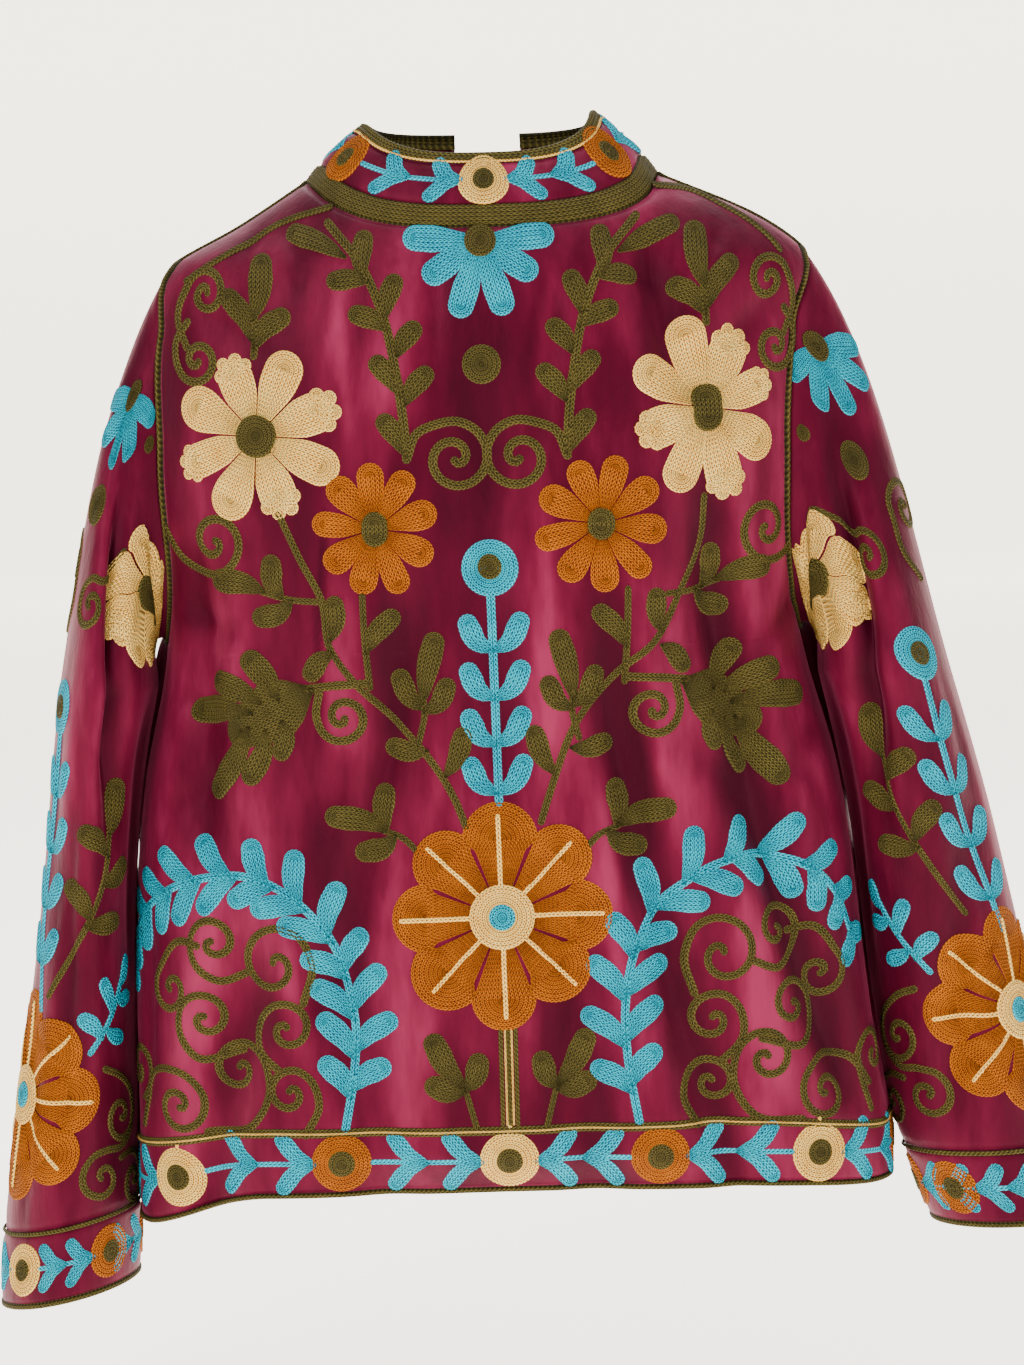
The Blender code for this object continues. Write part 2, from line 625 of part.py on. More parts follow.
def main():
    for old in list(bpy.data.objects):
        bpy.data.objects.remove(old)
    velvet = material("velvet", WINE, 0.55)
    olive = material("olive_binding", OLIVE, 0.75)
    build_body(velvet)
    build_hem_band(velvet, olive)
    build_collar(velvet, olive)
    build_front_bindings(olive)
    build_piping(olive)
    build_sleeve(1, "right", SLEEVE_RIGHT, FOLDS_RIGHT, END_RIGHT, velvet, olive)
    build_sleeve(-1, "left", SLEEVE_LEFT, FOLDS_LEFT, END_LEFT, velvet, olive)


main()
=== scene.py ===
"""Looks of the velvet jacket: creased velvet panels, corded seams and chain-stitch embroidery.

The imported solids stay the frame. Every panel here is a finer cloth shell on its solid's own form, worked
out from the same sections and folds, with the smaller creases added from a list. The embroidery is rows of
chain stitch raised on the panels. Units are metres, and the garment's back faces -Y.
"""

import logging
import math
from collections.abc import Callable, Sequence
from dataclasses import dataclass, field
from enum import Enum

import bmesh
import bpy
import numpy as np
from mathutils import Matrix, Vector


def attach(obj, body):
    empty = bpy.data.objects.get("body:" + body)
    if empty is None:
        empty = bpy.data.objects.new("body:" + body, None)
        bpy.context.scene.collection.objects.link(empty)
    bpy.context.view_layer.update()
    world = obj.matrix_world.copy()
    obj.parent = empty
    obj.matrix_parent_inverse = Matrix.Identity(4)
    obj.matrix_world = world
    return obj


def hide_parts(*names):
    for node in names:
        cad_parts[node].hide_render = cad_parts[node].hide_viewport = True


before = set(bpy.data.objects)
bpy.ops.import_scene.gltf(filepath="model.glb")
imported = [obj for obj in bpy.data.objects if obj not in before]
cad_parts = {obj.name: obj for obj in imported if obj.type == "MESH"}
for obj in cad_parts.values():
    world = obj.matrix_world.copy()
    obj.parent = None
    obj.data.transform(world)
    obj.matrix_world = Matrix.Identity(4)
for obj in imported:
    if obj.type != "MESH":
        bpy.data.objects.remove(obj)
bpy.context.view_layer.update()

LOG = logging.getLogger("velvet_jacket")
Array = np.ndarray
Point = Sequence[float]
Place = Callable[[Array, Array, Array], Array]
ROOT = "root"


class Side(Enum):
    """The wearer's left or right."""

    LEFT = -1
    RIGHT = 1

    @property
    def word(self) -> str:
        """Name used in the pieces' names."""
        return self.name.lower()


# Sizes shared with the solids
MM = 0.001
CLOTH = 0.0016
PROUD = 0.0010
TUCK_WIDTH = 0.0022
TUCK_DEPTH = -0.0022
SEAM_GAP = 0.0003
NECK_POINT_Z = 0.020
BACK_NECK_Z = -0.011
FRONT_NECK_Z = -0.006
BAND_SEAM_Z = -0.589
SEAM_RISE = 0.013
HEM_BINDING = 0.0030
ARMHOLE_Z = -0.150
ARMHOLE_HALF_HEIGHT = 0.120
ARMHOLE_HALF_WIDTH = 0.048
ARMHOLE_LOW = ARMHOLE_Z - ARMHOLE_HALF_HEIGHT
OPENING_TOP = 0.015
OPENING_HEM = 0.013
COLLAR_TOP_LEFT = 0.076
COLLAR_TOP_RIGHT = 0.069
COLLAR_TOP_BACK_Y = -0.045
COLLAR_TOP_FRONT_Y = 0.062
COLLAR_RISE_BACK = 0.047
COLLAR_RISE_LEFT = 0.037
COLLAR_RISE_RIGHT = 0.042
COLLAR_RISE_FRONT = 0.056
COLLAR_BULGE = 0.003
COLLAR_HEIGHT = 0.050
NECK_BAND_WIDTH = 0.014
COLLAR_EDGE_WIDTH = 0.0065
FRONT_EDGE_WIDTH = 0.009
PIPING_WIDTH = 0.0032
HEAD_TOP_Z = -0.03
HEAD_END_Z = -0.300
PANEL_GROW = PIPING_WIDTH + 2 * SEAM_GAP
SHOULDER_TOP = ARMHOLE_Z + ARMHOLE_HALF_HEIGHT + PANEL_GROW

# The fine grids
BLUR = 10
HEAD_ROWS = 70


@dataclass(frozen=True)
class Section:
    """Level section of the body: half widths to the left and right, depths to the back and front."""

    z: float
    left: float
    right: float
    back: float
    front: float
    square: float


@dataclass(frozen=True)
class SleeveRow:
    """Level section of a hanging sleeve: its middle and half sizes."""

    z: float
    x: float
    half_x: float
    y: float
    half_y: float


@dataclass(frozen=True)
class Fold:
    """Large trough from (a, z) at its top to its lower end.

    On the body a is the cloth distance u, and on a sleeve the turn from the outer line (0) to the
    underarm line (1).
    """

    a_top: float
    z_top: float
    a_end: float
    z_end: float
    width: float
    depth: float


@dataclass(frozen=True)
class Crease:
    """Small soft trough, or ridge where depth is negative, from one cloth point to another, bowed by bend."""

    a0: float
    b0: float
    a1: float
    b1: float
    bend: float
    width: float
    depth: float


@dataclass(frozen=True)
class SleeveEnd:
    """Lower end of a sleeve and how its head leaves the shoulder."""

    cuff_z: float
    edge_z: float
    leave_out: float
    reach_out: float
    slope: float


def table(kind: type, units: str, *rows: Sequence[float]) -> tuple:
    """Records from rows of numbers.

    Args:
        kind: the record's class.
        units: for each column, m for millimetres or 1 for a plain number.
        rows: the rows.
    Returns:
        The records, in metres.
    """
    scales = [MM if unit == "m" else 1.0 for unit in units]
    return tuple(kind(*(value * scale for value, scale in zip(row, scales))) for row in rows)


BODY_SECTIONS = table(
    Section, "mmmmm1", (-700, 241, 251, 104, 122, 2.9), (-590, 239, 245, 106, 122, 2.9),
    (-485, 237.5, 232, 106, 122, 2.8), (-366, 229, 218, 103, 122, 2.7), (-270, 211, 194, 101, 124, 2.6),
    (-150, 224, 200, 99, 120, 2.5), (-75, 220, 204, 90, 108, 2.3), (-30, 200, 202.5, 78, 90, 2.1),
    (-8, 159, 173, 67, 74, 2.0), (20, 114, 110, 50, 54, 2.0))
BODY_FOLDS = table(
    Fold, "mmmmmm", (133, -140, 236, -600, 17, 16), (66, -215, 158, -660, 15, 12), (100, -10, 128, -130, 14, 9),
    (-10, -50, 4, -400, 26, 7), (-52, -190, -118, -520, 15, 10), (-96, -440, -70, -660, 20, 6),
    (-196, -190, -190, -420, 16, 9), (-160, -420, -205, -660, 17, 10), (30, -380, 62, -660, 18, 6),
    (410, -120, 400, -640, 20, 11), (345, -250, 330, -660, 18, 10), (-410, -150, -412, -640, 20, 12),
    (-350, -280, -340, -660, 18, 9))
BODY_CREASES = table(
    Crease, "mmmmmmm",
    # both sides: the cloth pushed out in front of the sleeves
    (270, -264, 296, -345, 0, 20, -8), (-282, -264, -306, -345, 0, 18, -5), (276, -262, 307, -390, 2, 17, -8.5),
    (307, -390, 320, -625, 2, 17, -7), (-292, -262, -317, -400, -2, 17, -6.5), (-317, -400, -327, -625, -2, 17, -6.5),
    # back: across the shoulders
    (-150, -12, -160, -62, 4, 5.5, 1.8), (-128, -8, -118, -50, -3, 5, 1.4), (104, -4, 100, -48, 2, 5, 1.8),
    (150, -16, 132, -70, 4, 6, 2), (-196, -40, -140, -85, 6, 9, 2.6), (190, -50, 128, -96, -8, 10, 2.8),
    (-30, -30, -34, -120, 3, 8, 1.8), (40, -40, 22, -160, -4, 9, 2.2),
    # back: middle
    (-104, -186, -100, -330, 2, 2.6, 1.3), (-99, -330, -97, -365, 0, 4, 1.6), (10, -190, 34, -330, 4, 10, -3),
    (92, -240, 104, -370, 3, 10, -3.6), (-82, -240, -110, -350, -4, 9, -2.6), (-170, -215, -166, -330, 3, 12, -3.4),
    (-140, -330, -150, -420, 6, 10, 2.6), (20, -300, -20, -370, 6, 8, 1.6), (-60, -330, -86, -372, 4, 7, 2),
    (120, -330, 176, -430, -6, 10, 3), (70, -355, 60, -440, 3, 8, -2.4),
    # back: sides, drawn in under the arms
    (-214, -246, -165, -262, 3, 8, 2.6), (-218, -300, -170, -330, -5, 9, 2.6), (-226, -375, -180, -345, 4, 9, 2.2),
    (214, -250, 170, -290, 4, 8, 2.6), (220, -330, 180, -372, 4, 9, 2.6), (228, -400, 196, -352, 4, 8, 2),
    # back: lower skirt
    (60, -395, 110, -565, -6, 12, -3), (126, -400, 158, -560, 4, 11, 3), (192, -405, 214, -560, 6, 12, -3.4),
    (96, -470, 118, -575, 3, 10, 2.4), (-180, -430, -222, -560, 4, 11, -3.4), (-118, -455, -150, -570, -4, 10, 2.6),
    (-50, -470, -46, -575, 3, 11, -2.2), (-236, -440, -246, -575, 3, 9, 2.4), (20, -510, 34, -575, 2, 8, 1.4),
    (-22, -520, -30, -575, 2, 8, 1.2),
    # fronts
    (330, -40, 390, -150, 8, 10, 3.2), (450, -20, 430, -120, 4, 8, 2.2), (300, -240, 360, -300, 6, 10, 3),
    (296, -300, 340, -390, -6, 11, 3), (460, -260, 480, -420, 4, 12, 3), (380, -380, 372, -560, 4, 12, -3.4),
    (520, -330, 515, -560, 3, 11, 2.6), (300, -450, 280, -570, 4, 11, 3), (-330, -50, -395, -160, -6, 10, 3),
    (-455, -20, -440, -130, 4, 8, 2.2), (-305, -250, -370, -290, 6, 10, 3.2), (-300, -320, -350, -410, 6, 11, 2.8),
    (-470, -240, -480, -440, 4, 12, 3), (-385, -390, -378, -570, 4, 12, -3.4), (-525, -320, -520, -570, 3, 11, 2.6),
    (-300, -440, -290, -575, 4, 11, 3))
# Painted shade on the back's velvet (painted highlight where the last column is negative); the last column is a share
# of tone
BODY_PAINTED_SHADE = table(
    Crease, "mmmmmm1", (135, -160, 157, -400, 6, 17, 0.36), (65, -235, 87, -430, -4, 16, 0.36),
    (97, -20, 128, -80, 2, 12, 0.34), (-2, -50, -12, -360, 5, 36, 0.24), (-66, -240, -68, -330, 2, 14, 0.28),
    (-101, -370, -106, -450, 3, 18, 0.32), (-200, -60, -216, -140, 3, 18, 0.30), (-213, -205, -200, -260, 2, 20, 0.34),
    (178, -420, 232, -570, -6, 24, 0.30), (112, -460, 135, -570, 3, 15, 0.28), (-228, -425, -232, -565, 4, 18, 0.28),
    (-136, -490, -195, -550, 4, 18, 0.28), (33, -140, 31, -350, 3, 13, -0.30), (84, -225, 124, -312, -6, 14, -0.26),
    (121, -305, 200, -372, 5, 17, -0.28), (-94, -235, -96, -335, 2, 12, -0.30), (-180, -235, -203, -322, 4, 20, -0.30),
    (148, -430, 180, -565, 5, 13, -0.26), (-105, -186, -113, -330, 2, 2.4, 0.40), (-98, -190, -106, -325, 2, 5, -0.16),
    (-154, -436, -200, -530, -6, 18, -0.30), (-150, -372, -118, -560, 6, 7, -0.24), (44, -40, 30, -120, 3, 5, -0.22),
    (-92, -30, -88, -140, 3, 5, -0.24), (190, -130, 196, -250, -4, 7, -0.26), (176, -150, 182, -260, 3, 6, 0.28),
    (60, -350, 72, -560, -5, 8, -0.22), (-60, -60, -95, -180, -5, 16, -0.20), (60, -60, 66, -160, 4, 15, -0.18))
SLEEVE_ROWS = {
    Side.RIGHT: table(
        SleeveRow, "mmmmm", (-680, 331, 50, 12, 47), (-633, 316.5, 52, 11, 49), (-588, 303.5, 54, 10, 51),
        (-510, 289.5, 52, 6, 56), (-446, 279, 48.5, 2, 62), (-382, 268, 45, -2, 66), (-340, 258.5, 43.5, -4, 69),
        (-300, 248.5, 42.5, -5, 71)),
    Side.LEFT: table(
        SleeveRow, "mmmmm", (-720, 289.5, 46, 6, 55), (-640, 285.7, 44, 4, 60), (-560, 278.7, 38.5, 0, 66),
        (-500, 273.5, 34.3, -2, 70), (-430, 267, 30.3, -4, 74), (-340, 256.5, 30, -6, 77), (-300, 250, 31.5, -6, 77)),
}
SLEEVE_FOLDS = {
    Side.RIGHT: table(
        Fold, "1m1m1m", (0.40, -60, 0.78, -420, 0.075, 14), (0.30, -350, 0.62, -620, 0.090, 6),
        (-0.42, -100, -0.66, -420, 0.080, 10), (-0.30, -330, -0.45, -580, 0.090, 6)),
    Side.LEFT: table(
        Fold, "1m1m1m", (0.42, -70, 0.74, -420, 0.070, 13), (0.36, -330, 0.52, -640, 0.080, 6),
        (-0.42, -100, -0.66, -420, 0.080, 10), (-0.30, -350, -0.40, -600, 0.090, 6)),
}
# Creases of the sleeves, in turn and in minus the height
SLEEVE_CREASES = table(
    Crease, "1m1m11m", (0.10, 80, 0.40, 150, 0.02, 0.045, 2.4), (0.62, 180, 0.44, 260, 0.02, 0.040, 3),
    (0.70, 300, 0.38, 345, 0.02, 0.035, 3), (0.72, 370, 0.50, 440, 0.02, 0.040, 2.6),
    (0.20, 330, 0.34, 440, -0.02, 0.045, 2.4), (0.44, 470, 0.60, 560, 0.02, 0.045, 2.4),
    (0.16, 500, 0.30, 610, 0.02, 0.045, 2.2), (-0.10, 120, -0.34, 220, 0.02, 0.050, 2.8),
    (-0.62, 230, -0.40, 300, 0.02, 0.045, 3), (-0.66, 350, -0.44, 430, 0.02, 0.045, 2.8),
    (-0.20, 400, -0.34, 520, 0.02, 0.050, 2.6), (-0.50, 500, -0.62, 600, 0.02, 0.045, 2.4),
    (0.86, 310, 0.90, 480, 0.01, 0.040, 3), (-0.86, 340, -0.84, 520, 0.01, 0.040, 2.8))
SLEEVE_ENDS = dict(zip((Side.RIGHT, Side.LEFT), table(
    SleeveEnd, "mmmm1", (-611, -657, 136, 80, 0.02), (-642, -688, 126, 52, -0.20))))


def ease(t: Array) -> Array:
    """Smooth step from 0 to 1."""
    t = np.clip(t, 0.0, 1.0)
    return t * t * (3 - 2 * t)


def unit(vectors: Array) -> Array:
    """The vectors at length 1."""
    return vectors / np.maximum(np.linalg.norm(vectors, axis=-1, keepdims=True), 1e-12)


def run_along(points: Array) -> Array:
    """Distance run at each point of a line, from 0."""
    return np.concatenate([[0.0], np.cumsum(np.linalg.norm(np.diff(points, axis=0), axis=1))])


def hermite(t: Array, start: Array, end: Array, leave: Array, reach: Array) -> Array:
    """Cubic blend from start (t 0) to end (t 1), with its slopes there."""
    first = (1 + 2 * t) * (1 - t) ** 2 * start + t * (1 - t) ** 2 * leave
    return first + t**2 * (3 - 2 * t) * end + t**2 * (t - 1) * reach


def cubic(x: Array, y: Array, at: Array) -> Array:
    """Smooth curve through values or points.

    Args:
        x: rising places.
        y: the value or point at each.
        at: places wanted.
    Returns:
        The value or point at each wanted place.
    """
    slope = np.gradient(y, x, axis=0)
    i = np.clip(np.searchsorted(x, at) - 1, 0, len(x) - 2)
    step = x[i + 1] - x[i]
    t = np.clip((at - x[i]) / step, 0.0, 1.0)
    if y.ndim > 1:
        step, t = step[:, None], t[:, None]
    return hermite(t, y[i], y[i + 1], step * slope[i], step * slope[i + 1])


def column(rows: Sequence, name: str, at: Array) -> Array:
    """Smooth curve through one column of a table, at the heights wanted."""
    return cubic(np.array([row.z for row in rows]), np.array([getattr(row, name) for row in rows]), np.asarray(at))


def fold_depth(folds: Sequence[Fold], a: Array, z: Array, spread: float, ends: tuple[float, float]) -> Array:
    """How far the large folds sink.

    Args:
        folds: the table of folds.
        a: first cloth coordinate of every point.
        z: its height.
        spread: power by which a fold wanders sideways on its way down.
        ends: shares of its length in which it fades in and out.
    Returns:
        Depth at every point.
    """
    total = np.zeros(a.shape)
    for fold in folds:
        s = (fold.z_top - z) / (fold.z_top - fold.z_end)
        centre = fold.a_top + (fold.a_end - fold.a_top) * np.clip(s, 0, 1) ** spread
        reach = ease(s / ends[0]) * ease((1 - s) / ends[1])
        total += fold.depth * reach * np.exp(-(((a - centre) / fold.width) ** 2))
    return total


def crease_depth(creases: Sequence[Crease], a: Array, b: Array) -> Array:
    """How far the small creases sink at every point (a, b), negative on ridges.

    Args:
        creases: the table of creases.
        a: first cloth coordinate of every point.
        b: its second.
    Returns:
        Depth at every point.
    """
    total = np.zeros(np.shape(a))
    for c in creases:
        across, along = c.a1 - c.a0, c.b1 - c.b0
        length = math.hypot(across, along)
        t = ((a - c.a0) * across + (b - c.b0) * along) / length**2
        off = ((a - c.a0) * along - (b - c.b0) * across) / length - c.bend * 4 * t * (1 - t)
        total += c.depth * ease((t + 0.15) / 0.35) * ease((1.15 - t) / 0.35) * np.exp(-((off / c.width) ** 2))
    return total


def blurred(values: Array, reach: int) -> Array:
    """The grid of values averaged over a square, twice.

    Args:
        values: the grid.
        reach: half the square's side, in cells.
    Returns:
        The smoothed grid.
    """
    for _ in range(2):
        for axis in (0, 1):
            first, last = (np.repeat(np.take(values, [end], axis), reach, axis) for end in (0, -1))
            sums = np.cumsum(np.concatenate([first, values, last], axis), axis)
            high = np.take(sums, range(2 * reach, sums.shape[axis]), axis)
            low = np.take(sums, range(0, sums.shape[axis] - 2 * reach), axis)
            values = (high - low) / (2 * reach)
    return values


def sampled(grid: Array, row: Array, col: Array) -> Array:
    """Values at decimal rows and columns of a grid, each from its four neighbours.

    Args:
        grid: values or points on a grid.
        row: decimal rows.
        col: decimal columns.
    Returns:
        The value or point at each place.
    """
    row = np.clip(row, 0, grid.shape[0] - 1.001)
    col = np.clip(col, 0, grid.shape[1] - 1.001)
    i, j = row.astype(int), col.astype(int)
    s, t = row - i, col - j
    if grid.ndim == 3:
        s, t = s[..., None], t[..., None]
    low = grid[i, j] * (1 - t) + grid[i, j + 1] * t
    high = grid[i + 1, j] * (1 - t) + grid[i + 1, j + 1] * t
    return low * (1 - s) + high * s


class Form:
    """Cloth as a fine grid of points, with its outward directions and how far it stands over its surroundings."""

    points: Array
    out: Array
    relief: Array

    def outward(self, points: Array) -> Array:
        """Outward directions of a grid of points."""
        return unit(np.cross(np.gradient(points, axis=1), np.gradient(points, axis=0)))

    def settle(self, points: Array, sink: Array) -> None:
        """Keeps the finished grid, whose points have sunk so far."""
        self.points, self.out, self.relief = points, self.outward(points), blurred(sink, BLUR) - sink

    def at(self, row: Array, col: Array, lift: Array | float) -> Array:
        """Points at decimal rows and columns, lifted off the cloth."""
        lift = np.broadcast_to(lift, np.shape(row))[..., None]
        return sampled(self.points, row, col) + lift * unit(sampled(self.out, row, col))


class BodyForm(Form):
    """The body's cloth: a row for each height z, a column for each cloth distance u from the centre back.

    The share q round the body is 0 at the centre back, 0.5 on the side line and 1 at the centre front,
    and negative on the left.
    """

    step = 0.003
    hem_pull = 0.020

    def __init__(self, folded: bool = True) -> None:
        """Works out the grid: the whole body with its folds, or the plain form near the neck.

        Args:
            folded: whether it is the whole body with its folds.
        """
        self.lengths: dict[tuple[int, str], Array] = {}
        self.u = np.arange(-0.630, 0.6301, self.step)
        self.z = np.arange(-0.666 if folded else -0.030, 0.0301, self.step)
        points = np.array([self._row(z) for z in self.z])
        u, z = np.meshgrid(self.u, self.z)
        sink = np.zeros(u.shape)
        if folded:
            sink = fold_depth(BODY_FOLDS, u, z, 1.6, (0.30, 0.18)) + crease_depth(BODY_CREASES, u, z)
            points = points - self.outward(points) * sink[..., None]
            pull = ease((BAND_SEAM_Z - z) / 0.034) * ease(1 - np.abs(self.q_of(u, z)) / 0.36)
            points[..., 1] += self.hem_pull * pull
        self.settle(points, sink)

    @staticmethod
    def _quarter(z: float, side: int, part: str) -> tuple[Array, Array, Array]:
        """Quarter section at a height, from the middle to the side line, with its cloth lengths.

        Args:
            z: the height.
            side: -1 for the left, 1 for the right.
            part: back or front.
        Returns:
            Distances sideways, depths, and cloth lengths from the middle.
        """
        width = column(BODY_SECTIONS, "right" if side > 0 else "left", z)
        depth = column(BODY_SECTIONS, part, z)
        power = 2 / column(BODY_SECTIONS, "square", z)
        angle = np.linspace(0.0, math.pi / 2, 120)
        line = np.stack([width * np.sin(angle) ** power, depth * np.cos(angle) ** power], axis=1)
        return line[:, 0], line[:, 1], run_along(line)

    def _row(self, z: float) -> Array:
        """Points of one height round the body, at every cloth distance.

        Args:
            z: the height.
        Returns:
            The points.
        """
        made = np.zeros((len(self.u), 3))
        made[:, 2] = z
        for side in (-1, 1):
            bx, by, bl = self._quarter(z, side, "back")
            fx, fy, fl = self._quarter(z, side, "front")
            length = np.concatenate([bl, bl[-1] + fl[-1] - fl[::-1][1:]])
            mine = self.u * side >= 0
            at = np.abs(self.u[mine])
            made[mine, 0] = side * np.interp(at, length, np.concatenate([bx, fx[::-1][1:]]))
            made[mine, 1] = np.interp(at, length, np.concatenate([-by, fy[::-1][1:]]))
        return made

    def quarter_length(self, z: Array, side: int, part: str) -> Array:
        """Cloth length of a quarter section at each height.

        Args:
            z: heights.
            side: -1 for the left, 1 for the right.
            part: back or front.
        Returns:
            The lengths.
        """
        rows = np.linspace(-0.70, 0.03, 74)
        if (side, part) not in self.lengths:
            self.lengths[side, part] = np.array([self._quarter(r, side, part)[2][-1] for r in rows])
        return np.interp(z, rows, self.lengths[side, part])

    def _quarters(self, signed: Array, z: Array) -> list[Array]:
        """Cloth lengths of the back and the front quarter on each point's own side."""
        return [np.where(signed >= 0, *(self.quarter_length(z, side, part) for side in (1, -1)))
                for part in ("back", "front")]

    def q_of(self, u: Array, z: Array) -> Array:
        """Share round the body at a cloth distance."""
        (back, front), at = self._quarters(u, z), np.abs(u)
        return np.where(u >= 0, 1, -1) * np.where(at <= back, 0.5 * at / back, 0.5 + 0.5 * (at - back) / front)

    def u_of(self, q: Array, z: Array) -> Array:
        """Cloth distance at a share round the body."""
        (back, front), turn = self._quarters(q, z), np.abs(q)
        return np.where(q >= 0, 1, -1) * np.where(turn <= 0.5, turn / 0.5 * back, back + (turn - 0.5) / 0.5 * front)

    def place(self, u: Array, z: Array, lift: Array | float = 0.0) -> Array:
        """Points at cloth distances and heights, lifted off the cloth."""
        return self.at((z - self.z[0]) / self.step, (u - self.u[0]) / self.step, lift)

    def place_q(self, q: Array, z: Array, lift: Array | float = 0.0) -> Array:
        """Points at shares round the body and heights, lifted off the cloth."""
        return self.place(BODY.u_of(q, z), z, lift)

    def nap(self, u: Array, z: Array) -> Array:
        """Painted shade and highlight of the velvet, from 0 in the troughs to 1 on the ridges, with the painted shade
        table added.
        """
        relief = sampled(self.relief, (z - self.z[0]) / self.step, (u - self.u[0]) / self.step)
        return np.clip(0.54 + relief / 0.026 - 0.8 * crease_depth(BODY_PAINTED_SHADE, u, z), 0, 1)


BODY = BodyForm()
BODY_PLAIN = BodyForm(folded=False)


def neck_z(q: Array) -> Array:
    """Height of the neck seam round the body.

    Args:
        q: shares round the body.
    Returns:
        The heights.
    """
    turn = np.abs(q)
    back = BACK_NECK_Z + (NECK_POINT_Z - BACK_NECK_Z) * ease(turn / 0.5) ** 1.6
    swing = (NECK_POINT_Z - FRONT_NECK_Z) / 2
    front = (NECK_POINT_Z + FRONT_NECK_Z) / 2 + swing * np.cos(math.pi * (turn - 0.5) / 0.5)
    return np.where(turn <= 0.5, back, front)


def to_neck(height: Array, q_neck: Array) -> Array:
    """Heights of a panel's points once its upper edge follows the neck seam."""
    up = np.clip((height - ARMHOLE_LOW) / (NECK_POINT_Z - ARMHOLE_LOW), 0, 1) ** 2
    return height - up * (NECK_POINT_Z - neck_z(q_neck))


def hem_z(q: Array) -> Array:
    """Height of the hem's lower edge round the body.

    Args:
        q: shares round the body.
    Returns:
        The heights.
    """
    turn = np.abs(q)
    side_drop = np.where(q < 0, 0.022, 0.006)
    drop = side_drop + (0.010 - side_drop) * ease((turn - 0.5) / 0.4)
    return -0.615 - drop * ease((turn - 0.26) / 0.17)


def band_seam_z(q: Array) -> Array:
    """Height of the hem band's seam, which rises across the back."""
    return BAND_SEAM_Z + SEAM_RISE * ease((0.46 - np.abs(q)) / 0.22)


def front_edge(z: Array, side: int, inset: Array | float = 0.0) -> Array:
    """Share round the body of a front's free edge, or of a line that far in from it.

    Args:
        z: heights.
        side: -1 for the left, 1 for the right.
        inset: distance in from the edge.
    Returns:
        The shares, without their sign.
    """
    share = np.clip((NECK_POINT_Z - z) / (NECK_POINT_Z - BAND_SEAM_Z), 0, 1)
    half = OPENING_TOP + (OPENING_HEM - OPENING_TOP) * share + inset
    return 1 - 0.5 * half / BODY.quarter_length(z, side, "front")


def round_body(share: Array, z: float, inset: float = 0.0) -> Array:
    """Share q from the left front edge (share 0) round the back to the right one (1)."""
    left, right = (side * float(front_edge(z, side, inset)) for side in (-1, 1))
    return left + (right - left) * share


def armhole_inset(z: Array, side: int, part: str) -> Array:
    """Share of q between the side line and the panel's edge.

    Args:
        z: heights.
        side: -1 for the left, 1 for the right.
        part: back or front.
    Returns:
        The shares.
    """
    rise = (z - ARMHOLE_Z) / (ARMHOLE_HALF_HEIGHT + PANEL_GROW)
    width = (ARMHOLE_HALF_WIDTH + PANEL_GROW) * np.sqrt(np.maximum(0.0, 1 - rise * rise))
    seam = np.where(z > ARMHOLE_Z, PIPING_WIDTH / 2 + SEAM_GAP, SEAM_GAP / 2)
    return 0.5 * np.maximum(width, seam) / BODY.quarter_length(z, side, part)


def panel_heights() -> Array:
    """Heights of the rows of a body panel: even below the armhole, in even turns beside it.

    Returns:
        The heights, from the hem seam up.
    """
    below = np.linspace(BAND_SEAM_Z + SEAM_GAP, ARMHOLE_LOW - PANEL_GROW, 82)
    beside = ARMHOLE_Z + (ARMHOLE_HALF_HEIGHT + PANEL_GROW) * np.cos(np.pi * np.arange(71, -1, -1) / 72)
    return np.concatenate([below, beside, np.linspace(beside[-1], NECK_POINT_Z, 15)[1:]])


def armhole_point(turn: Array, side: int, grow: float = -2 * SEAM_GAP) -> tuple[Array, Array]:
    """(q, z) of the sleeve's edge in the armhole: turn 0 at the shoulder, 1 at the underarm.

    Args:
        turn: turns round the armhole.
        side: -1 for the left, 1 for the right.
        grow: how much the armhole is widened.
    Returns:
        Shares round the body, and heights.
    """
    angle = math.pi * turn
    z = ARMHOLE_Z + (ARMHOLE_HALF_HEIGHT + grow) * np.cos(angle)
    width = 0.5 * (ARMHOLE_HALF_WIDTH + grow) * np.sin(np.abs(angle))
    back, front = (width / BODY.quarter_length(z, side, part) for part in ("back", "front"))
    return side * np.where(turn >= 0, 0.5 - back, 0.5 + front), z


def ring_turn(share: Array) -> Array:
    """Turn round a tube, from -1 to 1, its last point exactly on its first."""
    return np.where(np.isclose(share, 1.0), -1.0, 2 * share - 1)


